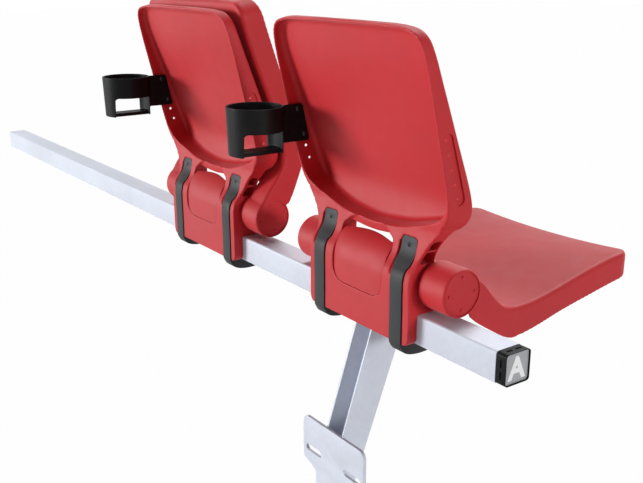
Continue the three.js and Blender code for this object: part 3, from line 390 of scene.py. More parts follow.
class SeatRow(bpy.types.PropertyGroup):
    """All sizes and colours of the row"""

    row: PointerProperty(type=RowSizes)
    hinge: PointerProperty(type=HingeSizes)
    back: PointerProperty(type=BackSizes)
    leg: PointerProperty(type=LegSizes)
    slot: PointerProperty(type=SlotSizes)
    cover: PointerProperty(type=CoverSizes)
    clamp: PointerProperty(type=ClampSizes)
    pan: PointerProperty(type=PanSizes)
    cup: PointerProperty(type=CupSizes)
    end: PointerProperty(type=EndSizes)
    colours: PointerProperty(type=RowColours)
    fold: FloatProperty(
        name="Fold", description="How far a pan tips up", default=math.radians(100), subtype="ANGLE")
    letter: StringProperty(name="Letter", description="The letter on the sign", default="A")


def mm(word):
    """A group's sizes in millimetres."""
    group = getattr(bpy.context.scene.seat_row, word)
    return SimpleNamespace(**{key: getattr(group, key) / MM for key in type(group).__annotations__})


def tone(word, share=1.0):
    """A colour of the row, lighter or darker by a share."""
    return tuple(min(1.0, part * share) for part in getattr(bpy.context.scene.seat_row.colours, word))


def pivot():
    """The hinge's line, in (y, z)."""
    hinge = mm("hinge")
    return hinge.y, hinge.z


# Shapes in a seat's frame and in millimetres: a line is rows of points, a body is points and faces


def soft(span, blend):
    """Half of the span plus its hypotenuse with the blend: nought far below zero, the span far above."""
    return (span + np.hypot(span, blend)) / 2


def face_y(z):
    """The sitter's face of the back: one slope above the belly, one below it, a third past the crest."""
    b, lean = mm("back"), LEAN_SHARES
    rise = lean["face"] * soft(z - b.belly, b.blend) + lean["tuck"] * soft(b.belly - z, b.blend)
    return b.belly_y + rise - lean["crest"] * soft(z - b.crest, b.blend)


def rim_y(z):
    """The rear rim of the tray: a leaning line that turns back towards the foot."""
    b, lean = mm("back"), LEAN_SHARES
    return b.rim_y + lean["rim"] * (z - b.rim_level) + lean["foot"] * soft(b.rim_foot - z, b.blend)


def curve_through(points, count, closed=False):
    """Centripetal Catmull-Rom curve through the points, resampled at equal steps of length."""
    p = np.asarray(points, float)
    if closed:
        p = np.vstack([p[-1:], p, p[:2]])
    else:
        p = np.vstack([2 * p[:1] - p[1:2], p, 2 * p[-1:] - p[-2:-1]])
    step = np.sqrt(np.linalg.norm(np.diff(p, axis=0), axis=1)) + 1e-9
    t = np.concatenate([[0], np.cumsum(step)])
    t0, t1, t2, t3 = (t[i : len(t) - 3 + i, None, None] for i in range(4))
    u = np.linspace(0, 1, STEPS["span"], endpoint=False)[None, :, None]
    s = t1 + (t2 - t1) * u

    def mix(a, b, ta, tb):
        return ((tb - s) * a + (s - ta) * b) / (tb - ta)

    q0, q1, q2, q3 = (q[:, None, :] for q in (p[:-3], p[1:-2], p[2:-1], p[3:]))
    a1, a2, a3 = mix(q0, q1, t0, t1), mix(q1, q2, t1, t2), mix(q2, q3, t2, t3)
    b1, b2 = mix(a1, a2, t0, t2), mix(a2, a3, t1, t3)
    line = mix(b1, b2, t1, t2).reshape(-1, p.shape[1])
    line = np.vstack([line, line[:1] if closed else p[-2:-1]])
    run = np.concatenate([[0], np.cumsum(np.linalg.norm(np.diff(line, axis=0), axis=1))])
    at = np.linspace(0, run[-1], count, endpoint=not closed)
    return np.stack([np.interp(at, run, line[:, k]) for k in range(p.shape[1])], 1)


def grow(line, distance, closed=True, foot=0.0):
    """The same line moved to its left by a distance, and by a foot distance more where it faces down."""
    ahead, behind = (np.roll(line, -1, 0), np.roll(line, 1, 0))
    if not closed:
        ahead[-1], behind[0] = line[-1], line[0]
    run = ahead - behind
    run /= np.linalg.norm(run, axis=1, keepdims=True)
    move = distance + foot * np.maximum(run[:, :1], 0)
    return line + move * np.stack([-run[:, 1], run[:, 0]], 1)


def arc(centre, radius, start, end, count):
    """Points on a circle from one angle to another, in degrees."""
    turn = np.radians(np.linspace(start, end, count))
    return np.stack([centre[0] + radius * np.cos(turn), centre[1] + radius * np.sin(turn)], 1)


def tube(rings, closed_ends=True):
    """A body through rings of equal count; each end is a fan to the ring's middle."""
    rings = np.asarray(rings, float)
    rows, count = rings.shape[:2]
    at = np.arange(rows * count).reshape(rows, count)
    turned_at = np.roll(at, -1, 1)
    faces = np.stack([at[:-1], turned_at[:-1], turned_at[1:], at[1:]], -1).reshape(-1, 4).tolist()
    points = rings.reshape(-1, 3)
    if closed_ends:
        points = np.vstack([points, rings[0].mean(0), rings[-1].mean(0)])
        first = np.full(count, rows * count)
        faces += np.stack([first, turned_at[0], at[0]], -1).tolist()
        faces += np.stack([first + 1, at[-1], turned_at[-1]], -1).tolist()
    return points, faces


def ring_round(rings):
    """A body through rings that come back to the first one."""
    rings = np.asarray(rings, float)
    rows, count = rings.shape[:2]
    a = np.arange(rows * count).reshape(rows, count)
    b = np.roll(a, -1, 0)
    faces = np.stack([a, np.roll(a, -1, 1), np.roll(b, -1, 1), b], -1).reshape(-1, 4).tolist()
    return rings.reshape(-1, 3), faces


def prism(outline, axis, low, high):
    """An outline carried straight along one axis, with a flat face at each end."""
    flat = np.asarray(outline, float)
    ends = np.zeros((2, len(flat), 3))
    ends[:, :, [k for k in range(3) if k != axis]] = flat
    ends[0, :, axis], ends[1, :, axis] = low, high
    count = len(flat)
    i = np.arange(count)
    j = (i + 1) % count
    faces = np.stack([i, j, j + count, i + count], -1).tolist()
    faces += [i[::-1].tolist(), (i + count).tolist()]
    return ends.reshape(-1, 3), faces


def turned(profile, axis, centre, steps):
    """A (radius, place) profile turned about an axis; its ends lie on the axis or meet each other."""
    profile = np.asarray(profile, float)
    turn = np.linspace(0, 2 * np.pi, steps, endpoint=False)
    radius, place = profile[:, 0, None], profile[:, 1, None]
    rings = np.zeros((len(profile), steps, 3))
    other = [k for k in range(3) if k != axis]
    rings[:, :, axis] = place
    rings[:, :, other[0]] = centre[0] + radius * np.cos(turn)
    rings[:, :, other[1]] = centre[1] + radius * np.sin(turn)
    return ring_round(rings[:-1]) if np.allclose(profile[0], profile[-1]) else tube(rings)


def bar(radius, axis, low, high, centre, steps=STEPS["small_round"]):
    """A round bar along one axis."""
    return turned([(radius, low), (radius, high)], axis, centre, steps)


def ring_profile(inner, outer, low, high, ease=0.0):
    """A ring's (radius, place) profile, closed on itself, its corners cut by an ease."""
    line = [
        (inner + ease, low), (outer - ease, low), (outer, low + ease), (outer, high - ease),
        (outer - ease, high), (inner + ease, high), (inner, high - ease), (inner, low + ease),
    ] if ease else [(inner, low), (outer, low), (outer, high), (inner, high)]
    return [*line, line[0]]


def block(x0, x1, y0, y1, z0, z1):
    """A box between two corners."""
    return prism([(y0, z0), (y1, z0), (y1, z1), (y0, z1)], 0, x0, x1)


def rounded(x0, y0, x1, y1, radius):
    """A rectangle's outline with round corners."""
    corners = [(x1, y0, -1, 1, -90), (x1, y1, -1, -1, 0), (x0, y1, 1, -1, 90), (x0, y0, 1, 1, 180)]
    return np.vstack([
        arc((x + i * radius, y + j * radius), radius, start, start + 90, STEPS["corner"])
        for x, y, i, j, start in corners])


def stadium(a, b, radius):
    """A slot's outline from a to b with round ends."""
    angle = math.degrees(math.atan2(b[1] - a[1], b[0] - a[0]))
    first = arc(b, radius, angle - 90, angle + 90, STEPS["slot"])
    return np.vstack([first, arc(a, radius, angle + 90, angle + 270, STEPS["slot"])])


# Meshes


def linked(name, data):
    """A new object in the scene that holds the data."""
    obj = bpy.data.objects.new(name, data)
    bpy.context.scene.collection.objects.link(obj)
    return obj


def mesh_object(name, points, faces):
    """An object whose mesh holds the points, moved from the seat's frame into the row's, in metres."""
    row = mm("row")
    place = (np.asarray(points, float) + (0, -row.setback, row.rise)) * MM
    mesh = bpy.data.meshes.new(name)
    mesh.from_pydata(place.tolist(), [], faces)
    mesh.validate()
    return outwards(linked(name, mesh))


def outwards(obj):
    """Turns a closed mesh's faces outwards."""
    if volume(obj.data) < 0:
        obj.data.flip_normals()
    return obj


def places(mesh):
    """A mesh's vertices as rows of three."""
    flat = np.empty(len(mesh.vertices) * 3)
    mesh.vertices.foreach_get("co", flat)
    return flat.reshape(-1, 3)


def put(mesh, points):
    """Moves a mesh's vertices to rows of three."""
    mesh.vertices.foreach_set("co", points.ravel())
    mesh.update()


def volume(mesh):
    """The signed volume inside a closed mesh: the sum of a sixth of each triangle's triple product."""
    mesh.calc_loop_triangles()
    corners = np.empty(len(mesh.loop_triangles) * 3, int)
    mesh.loop_triangles.foreach_get("vertices", corners)
    a, b, c = places(mesh)[corners.reshape(-1, 3).T]
    return float(np.einsum("ij,ij->i", a, np.cross(b, c)).sum() / 6)


def evaluated(obj):
    """A mesh with an object's modifiers or its curve worked out."""
    graph = bpy.context.evaluated_depsgraph_get()
    return bpy.data.meshes.new_from_object(obj.evaluated_get(graph))


def settle(obj):
    """Turns an object's modifiers into its mesh."""
    mesh = evaluated(obj)
    obj.modifiers.clear()
    old = obj.data
    obj.data = mesh
    bpy.data.meshes.remove(old)
    return obj


def merge(obj, others, operation):
    """Adds, cuts or keeps what the others share with the object, and removes them."""
    for other in others:
        step = obj.modifiers.new("step", "BOOLEAN")
        step.object, step.operation, step.solver = other, operation, "MANIFOLD"
    settle(obj)
    for other in others:
        bpy.data.objects.remove(other)
    return obj


def mould(obj, kind, rounds):
    """Melts a joined body into one skin of even cells, eases its edges in rounds and thins it out."""
    remesh = obj.modifiers.new("skin", "REMESH")
    remesh.mode, remesh.voxel_size = "VOXEL", CELL[kind] * MM
    ease = obj.modifiers.new("ease", "SMOOTH")
    ease.factor, ease.iterations = EASE_FACTOR, rounds
    settle(obj)
    thin = obj.modifiers.new("thin", "DECIMATE")
    thin.ratio = min(1.0, FACES[kind] / max(1, 2 * len(obj.data.polygons)))
    return settle(obj)


def shade(obj, kind="usual"):
    """Smooth shading, broken along sharp edges."""
    mesh = obj.data
    mesh.polygons.foreach_set("use_smooth", np.ones(len(mesh.polygons), bool))
    mesh.set_sharp_from_angle(angle=math.radians(SHARP[kind]))
    return obj


def bevelled(obj, kind):
    """Rounds the object's edges."""
    width, segments, degrees = BEVELS[kind]
    edge = obj.modifiers.new("edge", "BEVEL")
    edge.width, edge.segments, edge.limit_method = width * MM, segments, "ANGLE"
    edge.angle_limit = math.radians(degrees)
    return settle(obj)


def dress(obj, word, body, nodes=()):
    """Gives a finished piece its material, its body and the CAD nodes it stands for."""
    obj.data.materials.clear()
    obj.data.materials.append(finish(word))
    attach(obj, body)
    if nodes:
        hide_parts(*nodes)
    return obj


def again(obj, name):
    """A copy of a finished piece, moved along the row by the seats' pitch."""
    mesh = obj.data.copy()
    put(mesh, places(mesh) + (mm("row").pitch * MM, 0, 0))
    return linked(name, mesh)


def folded(obj):
    """Turns a finished mesh about the hinge, as the far place's pan is turned."""
    row = mm("row")
    y, z = pivot()
    centre = np.array([0.0, y - row.setback, z + row.rise]) * MM
    turn = -bpy.context.scene.seat_row.fold
    spin = np.array([[1, 0, 0], [0, math.cos(turn), -math.sin(turn)], [0, math.sin(turn), math.cos(turn)]])
    put(obj.data, (places(obj.data) - centre) @ spin.T + centre)
    return obj


def pair(make, word, node, slot, moving=False, args=()):
    """Makes a near piece and its far copy; a moving piece's copy is turned about the hinge as well."""
    near = make(f"near_{word}", *args)
    dress(near, slot, BODIES["near"] if moving else BODIES["row"], [f"near_{node}"])
    far = again(near, f"far_{word}")
    if moving:
        folded(far)
    dress(far, slot, BODIES["far"] if moving else BODIES["row"], [f"far_{node}"])


# Finishes: each is made once and shared by the pieces that have it

# How far a rounded normal and the surface's own agree, from a worn edge to none
WORN_SPAN = (0.8, 0.99)


class Nodes:
    """A material's node tree, with short ways to add and join nodes; patterns read Object coordinates."""

    def __init__(self, name):
        self.material = bpy.data.materials.new(name)
        self.material.use_nodes = True
        self.tree = self.material.node_tree
        self.shader = self.tree.nodes["Principled BSDF"]
        self.place = self.add("ShaderNodeTexCoord").outputs["Object"]

    def add(self, kind, **values):
        node = self.tree.nodes.new(kind)
        for key, value in values.items():
            setattr(node, key, value)
        return node

    def join(self, source, target):
        self.tree.links.new(source, target)

    def set(self, **values):
        for key, value in values.items():
            self.shader.inputs[key.replace("_", " ")].default_value = value

    def noise(self, scale, detail=2.0, roughness=0.5, stretch=None):
        """Fractal noise from nought to one; the stretch squeezes the pattern along an axis."""
        place = self.place
        if stretch:
            mapping = self.add("ShaderNodeMapping")
            mapping.inputs["Scale"].default_value = stretch
            self.join(place, mapping.inputs["Vector"])
            place = mapping.outputs["Vector"]
        node = self.add("ShaderNodeTexNoise")
        node.inputs["Scale"].default_value = scale
        node.inputs["Detail"].default_value = detail
        node.inputs["Roughness"].default_value = roughness
        self.join(place, node.inputs["Vector"])
        return node.outputs["Fac"]

    def flakes(self, scale):
        """One even value for each cell of a random pattern."""
        node = self.add("ShaderNodeTexVoronoi")
        node.inputs["Scale"].default_value = scale
        split = self.add("ShaderNodeSeparateColor")
        self.join(self.place, node.inputs["Vector"])
        self.join(node.outputs["Color"], split.inputs["Color"])
        return split.outputs["Red"]

    def span(self, source, low, high, start=0.0, end=1.0):
        """The source's values from start to end, moved to run from low to high."""
        node = self.add("ShaderNodeMapRange")
        for key, value in {"From Min": start, "From Max": end, "To Min": low, "To Max": high}.items():
            node.inputs[key].default_value = value
        self.join(source, node.inputs["Value"])
        return node.outputs["Result"]

    def sum(self, first, second, operation="ADD"):
        node = self.add("ShaderNodeMath", operation=operation)
        self.join(first, node.inputs[0])
        self.join(second, node.inputs[1])
        return node.outputs["Value"]

    def edges(self, radius):
        """One on worn edges and nought elsewhere: where a rounded normal departs from the surface's own."""
        bevel = self.add("ShaderNodeBevel", samples=4)
        bevel.inputs["Radius"].default_value = radius * MM
        shape = self.add("ShaderNodeNewGeometry")
        product = self.add("ShaderNodeVectorMath", operation="DOT_PRODUCT")
        self.join(bevel.outputs["Normal"], product.inputs[0])
        self.join(shape.outputs["Normal"], product.inputs[1])
        return self.span(product.outputs["Value"], 1.0, 0.0, *WORN_SPAN)

    def between(self, factor, first, second):
        """A colour from the first to the second, by a factor."""
        node = self.add("ShaderNodeMix", data_type="RGBA")
        for socket in node.inputs:
            if socket.name == "Factor" and socket.type == "VALUE":
                self.join(factor, socket)
            if socket.type == "RGBA":
                socket.default_value = (*(first if socket.name == "A" else second), 1.0)
        return next(socket for socket in node.outputs if socket.type == "RGBA")

    def colour(self, output):
        self.join(output, self.shader.inputs["Base Color"])

    def rough(self, output):
        self.join(output, self.shader.inputs["Roughness"])

    def bump(self, height, distance, strength):
        """A relief as deep as a distance in millimetres."""
        node = self.add("ShaderNodeBump")
        node.inputs["Strength"].default_value = strength
        node.inputs["Distance"].default_value = distance * MM
        self.join(height, node.inputs["Height"])
        self.join(node.outputs["Normal"], self.shader.inputs["Normal"])


def red_plastic():
    """Moulded polypropylene: a fine spark-eroded grain, slow clouds of colour and of gloss."""
    n = Nodes("red_plastic")
    clouds = n.span(n.noise(9.0, 3.0), 0, 1, 0.3, 0.7)
    n.colour(n.between(clouds, tone("shell", 0.95), tone("shell", 1.05)))
    grain = n.noise(2200.0, 2.0, 0.6)
    handling = n.noise(38.0, 4.0, 0.55)
    n.rough(n.sum(n.span(handling, 0.55, 0.62, 0.3, 0.7), n.span(grain, -0.02, 0.02)))
    n.bump(n.sum(grain, n.span(n.noise(160.0), 0, 0.6)), 0.05, 0.35)
    n.set(IOR=1.49, Specular_IOR_Level=0.45, Sheen_Weight=0.12, Sheen_Roughness=0.4)
    return n.material


def black_plastic():
    """Glass-filled black plastic: a coarser grain and slight scuffs."""
    n = Nodes("black_plastic")
    scuffs = n.noise(60.0, 5.0, 0.65)
    n.colour(n.between(n.span(scuffs, 0, 1, 0.45, 0.7), tone("black"), tone("black", 1.6)))
    n.rough(n.span(scuffs, 0.4, 0.52, 0.3, 0.7))
    n.bump(n.noise(1500.0, 3.0, 0.6), 0.06, 0.4)
    n.set(Specular_IOR_Level=0.1)
    return n.material


def zinc_coat():
    """Hot-dip zinc: flat crystals a few millimetres wide, and slow faint clouds where it has dulled."""
    n = Nodes("zinc_coat")
    flake = n.flakes(120.0)
    clouds = n.span(n.noise(7.0, 3.0, 0.5), 0, 1, 0.3, 0.7)
    tint = n.sum(n.span(flake, 0, 0.3), n.span(clouds, 0, 0.7))
    n.colour(n.between(tint, tone("steel", 0.88), tone("steel", 1.0)))
    n.rough(n.sum(n.span(flake, 0.0, 0.06), n.span(clouds, 0.42, 0.5)))
    n.bump(n.sum(n.noise(420.0, 3.0), n.span(n.noise(55.0, 3.0), 0, 1.5)), 0.05, 0.22)
    n.set(Metallic=0.1, Specular_IOR_Level=0.2)
    return n.material


def powder_coat():
    """Dark grey powder coat on the clamp straps: a fine orange peel, rubbed lighter at the edges."""
    n = Nodes("powder_coat")
    wear = n.sum(n.edges(0.8), n.span(n.noise(240.0, 4.0, 0.6), 0, 1, 0.5, 0.7), "MULTIPLY")
    n.colour(n.between(wear, tone("strap"), tone("strap", 1.3)))
    n.rough(n.span(n.noise(900.0, 2.0), 0.48, 0.6))
    n.bump(n.noise(700.0, 2.0), 0.05, 0.4)
    n.set(Specular_IOR_Level=0.25)
    return n.material


def black_oxide():
    """Oxide on the screws: dark, with turning marks."""
    n = Nodes("black_oxide")
    marks = n.noise(900.0, 2.0, 0.5)
    n.colour(n.between(marks, tone("screw", 0.8), tone("screw", 1.2)))
    n.rough(n.span(marks, 0.34, 0.46))
    n.bump(marks, 0.02, 0.3)
    n.set(Metallic=0.6)
    return n.material


def bearing_plastic():
    """Off-white acetal for the bushes."""
    n = Nodes("bearing_plastic")
    clouds = n.noise(80.0)
    n.colour(n.between(clouds, tone("bearing", 0.92), tone("bearing", 1.02)))
    n.rough(n.span(clouds, 0.4, 0.5))
    n.bump(n.noise(1400.0), 0.03, 0.3)
    return n.material


def sign_paint():
    """Satin grey paint on the sign plate, with a slight brushed run."""
    n = Nodes("sign_paint")
    run = n.noise(90.0, 3.0, 0.6, (1.0, 1.0, 14.0))
    n.colour(n.between(run, tone("sign", 0.9), tone("sign", 1.06)))
    n.rough(n.span(run, 0.34, 0.46))
    n.bump(run, 0.02, 0.3)
    return n.material


def letter_paint():
    """White filling of the letter."""
    n = Nodes("letter_paint")
    n.colour(n.between(n.noise(120.0, 3.0), tone("letter", 0.94), tone("letter")))
    n.rough(n.span(n.noise(500.0), 0.3, 0.4))
    n.set(Specular_IOR_Level=1.0)
    return n.material


FINISH_MAKERS = {
    "shell": red_plastic,
    "black": black_plastic,
    "steel": zinc_coat,
    "strap": powder_coat,
    "screw": black_oxide,
    "bearing": bearing_plastic,
    "sign": sign_paint,
    "letter": letter_paint,
}
_made = {}


def finish(word):
    """The material of that name, made the first time it is asked for."""
    if word not in _made:
        _made[word] = FINISH_MAKERS[word]()
    return _made[word]


# Stage

CAMERA = {"place": (-1.10803, 0.81751, 0.82046), "turn": -0.6223136, "tilt": -0.296245}
LENS = {"focal_px": 904.048, "sensor": 36.0, "clip": 50.0}
FLOOR = {"level": -0.6, "reach": 30.0, "white_share": 0.97, "grey": 0.8, "rough": 0.9}
AMBIENT = 0.12
LAMP_COLOUR = (0.96, 0.98, 1.0)
LAMPS = {
    "key": {"source": (0.6, 0.8, 0.0), "strength": 4.4, "degrees": 24},
    "side": {"source": (-1.0, -0.14, 0.12), "strength": 1.25, "degrees": 10},
    "above": {"source": (0.35, -0.7, 0.9), "strength": 2.1, "degrees": 30},
}


def aim(obj, place, direction):
    """Puts an object at a place, with its view along a direction."""
    obj.location = place
    obj.rotation_euler = Vector(direction).to_track_quat("-Z", "Y").to_euler()


def camera():
    """The photograph's camera, solved from the beam's edges and the repeat of the seats."""
    data = bpy.data.cameras.new("camera")
    data.sensor_width = LENS["sensor"]
    data.lens = LENS["focal_px"] * LENS["sensor"] / PHOTO[0]
    data.clip_end = LENS["clip"]
    obj = linked("camera", data)
    turn, tilt = CAMERA["turn"], CAMERA["tilt"]
    level = math.cos(tilt)
    aim(obj, CAMERA["place"], (level * math.cos(turn), level * math.sin(turn), math.sin(tilt)))
    bpy.context.scene.camera = obj


def sun(name, source, strength, degrees):
    """A soft lamp far away: source is the direction it stands in, degrees its apparent width."""
    data = bpy.data.lights.new(name, "SUN")
    data.energy = strength
    data.color = LAMP_COLOUR
    data.angle = math.radians(degrees)
    aim(linked(name, data), source, [-part for part in source])


def seen_rays(tree):
    """One for rays from the camera, mirrors and glass, nought for the rest."""
    path = tree.nodes.new("ShaderNodeLightPath")
    total = path.outputs["Is Camera Ray"]
    for name in ("Is Glossy Ray", "Is Transmission Ray"):
        step = tree.nodes.new("ShaderNodeMath")
        step.operation = "MAXIMUM"
        tree.links.new(total, step.inputs[0])
        tree.links.new(path.outputs[name], step.inputs[1])
        total = step.outputs["Value"]
    return total


def mixed(tree, share, first, second, target):
    """Joins a mix of two shaders to a tree's output."""
    mix = tree.nodes.new("ShaderNodeMixShader")
    for source, socket in zip((share, first, second), mix.inputs):
        tree.links.new(source, socket)
    tree.links.new(mix.outputs["Shader"], target.inputs["Surface"])


def world(ambient):
    """Seen as white, but lighting the object only faintly."""
    made = bpy.data.worlds.new("studio")
    bpy.context.scene.world = made
    made.use_nodes = True
    tree = made.node_tree
    tree.nodes.clear()
    skies = [tree.nodes.new("ShaderNodeBackground") for _ in range(2)]
    for sky, strength in zip(skies, (ambient, 1.0)):
        sky.inputs["Color"].default_value = (1, 1, 1, 1)
        sky.inputs["Strength"].default_value = strength
    faint, white = (sky.outputs["Background"] for sky in skies)
    mixed(tree, seen_rays(tree), faint, white, tree.nodes.new("ShaderNodeOutputWorld"))


def floor(level, reach):
    """A wide pale floor well below the row: mostly white to the camera, the rest takes the shadow."""
    mesh = bpy.data.meshes.new("floor")
    corners = ((-1, -1), (1, -1), (1, 1), (-1, 1))
    mesh.from_pydata([(x * reach, y * reach, level) for x, y in corners], [], [range(4)])
    obj = linked("floor", mesh)
    material = bpy.data.materials.new("floor")
    material.use_nodes = True
    tree = material.node_tree
    matt = tree.nodes["Principled BSDF"]
    matt.inputs["Base Color"].default_value = (*[FLOOR["grey"]] * 3, 1)
    matt.inputs["Roughness"].default_value = FLOOR["rough"]
    glow = tree.nodes.new("ShaderNodeEmission")
    share = tree.nodes.new("ShaderNodeMath")
    share.operation = "MULTIPLY"
    share.inputs[1].default_value = FLOOR["white_share"]
    tree.links.new(seen_rays(tree), share.inputs[0])
    shaders = matt.outputs["BSDF"], glow.outputs["Emission"]
    mixed(tree, share.outputs["Value"], *shaders, tree.nodes["Material Output"])
    mesh.materials.append(material)


# Back moulding


def back_outline(count):
    """The rim from behind, from the foot's middle: a closed smooth curve, its second half the mirror."""
    b = mm("back")
    half = [(x * b.half, b.bottom + z * (b.top - b.bottom)) for x, z in OUTLINE_SHARES]
    mirrored = [(-x, z) for x, z in half[:0:-1]]
    return curve_through([*half, (0.0, b.top), *mirrored], count, closed=True)


def draw_share(x, z):
    """How far the walls rise towards the face, as a share of their depth: it grows evenly with the height.

    It is less at the lower corners: by the fourth power of the share across, times the square of the share
    of the height that is left above.
    """
    b, lean = mm("back"), LEAN_SHARES
    up = (z - b.bottom) / (b.top - b.bottom)
    even = lean["floor"] + (lean["rim"] - lean["floor"]) * up
    return even - lean["corner"] * (x / b.half) ** 4 * (1 - up) ** 2


def ring_at(outline, depth):
    """A ring of the tray: the outline carried ahead of the rim by a depth, the way the walls draw in."""
    x, z = outline.T
    return np.stack([x, rim_y(z) - depth, z + draw_share(x, z) * depth], 1)


def face_depth(outline, back):
    """How far ahead of the rim the face lies, less a distance; dished by the square of the share across."""
    x, z = outline.T
    b = mm("back")
    dish = b.dish * (1 - (x / b.half) ** 2)
    return (rim_y(z) - face_y(z)) / (1 + draw_share(x, z) * LEAN_SHARES["face"]) - back - dish


def drawn_in(outline, share):
    """The outline scaled towards its middle."""
    b = mm("back")
    middle = np.array([0.0, (b.top + b.bottom) / 2])
    return middle + (outline - middle) * share


def tray(outline, radius, back, start, draft=0.0):
    """A tray's skin: up a wall from a start depth, round a quarter turn of a radius, then over the face.

    The draft is how much further in the foot's wall ends.
    """
    rings = [ring_at(outline, np.full(len(outline), start))]
    outline = grow(outline, 0.0, foot=draft)
    for turn in np.linspace(0, math.pi / 2, STEPS["edge"]):
        line = grow(outline, radius * (1 - math.cos(turn)))
        depth = face_depth(line, back + radius * (1 - math.sin(turn)))
        rings.append(ring_at(line, np.maximum(depth, start + LAP)))
    last = grow(outline, radius)
    for share in np.linspace(*FACE_SHARES, STEPS["face"]):
        line = drawn_in(last, share)
        rings.append(ring_at(line, face_depth(line, back)))
    return tube(rings)


def rear_line(shares, count):
    """A leg's or a strap's rear line in (y, z): a smooth curve through its bends, straight below them."""
    leg, b, beam = mm("leg"), mm("back"), mm("row").beam
    points = [(y * leg.rear, z * b.bottom) for y, z in shares]
    return curve_through([(leg.rear, -beam), (leg.rear, 0.0), *points], count)


def leg_side():
    """The leg from the side: a saddle on the beam, a boss round the axle and a neck up to the tray."""
    leg, b, row = mm("leg"), mm("back"), mm("row")
    y, z = pivot()
    boss = arc((y, z), leg.boss, 90, 210, STEPS["boss"])
    top = [(float(rim_y(leg.top)), leg.top), (float(face_y(leg.top)) + b.edge, leg.top)]
    neck = [(-leg.front, b.bottom), (-leg.front, z + leg.boss)]
    lip = -row.beam - leg.lip
    saddle = [
        (lip, row.corner), (lip, -leg.drop), (-row.beam - GAP, -leg.drop), (-row.beam - GAP, GAP),
        (GAP, GAP), (GAP, -row.beam),
    ]
    return np.vstack([rear_line(LEG_REAR_SHARES, STEPS["line"]), top, neck, boss, saddle])


def leg_outline():
    """The leg from behind: it flares out to the tray's corner and in to the tray's foot."""
    leg, b, beam = mm("leg"), mm("back"), mm("row").beam
    outer = [(x * leg.outer, z * b.bottom) for x, z in LEG_OUTER_SHARES]
    inner = [(x * leg.inner, z * b.bottom) for x, z in LEG_INNER_SHARES]
    foot = arc((leg.outer - leg.toe, leg.toe - beam), leg.toe, -90, 0, STEPS["wide_corner"])
    right = curve_through([(leg.outer, b.bottom / 3), *outer], STEPS["flank"])
    left = curve_through([*inner, (leg.inner, b.bottom / 2)], STEPS["flank"])
    return np.vstack([[(leg.inner, -beam)], foot, right, [(leg.outer, leg.top)], left])


def leg(side):
    """The leg's two profiles carried across each other; what they share is the leg."""
    wide = 2 * mm("leg").outer
    across = mesh_object("leg", *prism(leg_side(), 0, *sorted((PAST * side, wide * side))))
    outline = mesh_object("outline", *prism(leg_outline() * (side, 1), 1, -wide, wide))
    return merge(across, [outline], "INTERSECT")


def neck_pocket(side):
    """The hollow in the outside of a leg's neck: it follows the leg's rear line, with a rib across it."""
    leg = mm("leg")
    rear = grow(rear_line(LEG_REAR_SHARES, STEPS["line"]), leg.pocket_skin, closed=False)
    rear = rear[(rear[:, 1] > leg.pocket_low) & (rear[:, 1] < leg.pocket_high)]
    ahead = leg.pocket_front - leg.front
    line = np.vstack([
        [(ahead, leg.pocket_low), (rear[0, 0], leg.pocket_low)], rear,
        [(rear[-1, 0], leg.pocket_high), (ahead, leg.pocket_high)],
    ])
    ends = sorted((side * leg.pocket, side * 2 * leg.outer))
    middle, half = (leg.pocket_low + leg.pocket_high) / 2, leg.rib / 2
    hollow = mesh_object("neck", *prism(line, 0, *ends))
    ends = sorted((side * (leg.pocket - PAST), side * (leg.outer + leg.rib)))
    rib = mesh_object("rib", *block(*ends, -2 * leg.outer, 2 * leg.outer, middle - half, middle + half))
    return merge(hollow, [rib], "DIFFERENCE")


def strap_outline(room, side):
    """A strap from behind: a narrow run on the beam, and a wider tab with rounded corners."""
    c, beam = mm("clamp"), mm("row").beam
    top = rear_line(STRAP_REAR_SHARES, STEPS["line"])[-1, 1] + room
    low, high = c.inner - room, c.outer + room
    wide_low, wide_high = low - c.tab_wide, high + c.tab_wide
    r = c.tab_corner
    line = np.vstack([
        [(low, -2 * beam), (high, -2 * beam), (high, c.tab_low), (wide_high, c.tab_low + c.tab_rise)],
        arc((wide_high - r, top - r), r, 0, 90, STEPS["corner"]),
        arc((wide_low + r, top - r), r, 90, 180, STEPS["corner"]),
        [(wide_low, c.tab_low + c.tab_rise), (low, c.tab_low)],
    ])
    return line * (side, 1)


def strap_channel(side):
    """The channel that a strap lies in, open to the rear, with slack beside its tab."""
    c, leg = mm("clamp"), mm("leg")
    line = rear_line(STRAP_REAR_SHARES, STEPS["line"])
    line = np.vstack([line, line[-1] + (0, GAP)])
    bed = grow(line, c.wall + GAP, closed=False)
    rear = 2 * leg.rear
    below = bed[0, 1] - PAST
    shape = np.vstack([bed, [(rear, bed[-1, 1]), (rear, below), (bed[0, 0], below)]])
    deep = mesh_object("channel", *prism(shape, 0, -2 * leg.outer, 2 * leg.outer))
    lying = mesh_object("outline", *prism(strap_outline(2 * GAP, side), 1, -leg.outer, leg.outer))
    edge = c.outer if side > 0 else -c.inner
    reach = edge + c.tab_wide + c.slack
    room = block(edge - GAP, reach, -leg.outer, leg.outer, c.slack_low, line[-1, 1] - c.tab_corner)
    return merge(deep, [merge(lying, [mesh_object("room", *room)], "UNION")], "INTERSECT")


def cover_bottom(u):
    """The hinge cover's lower edge: level, rising with the eighth power of the share across."""
    cover = mm("cover")
    return cover.bottom + cover.hem * np.abs(u) ** 8


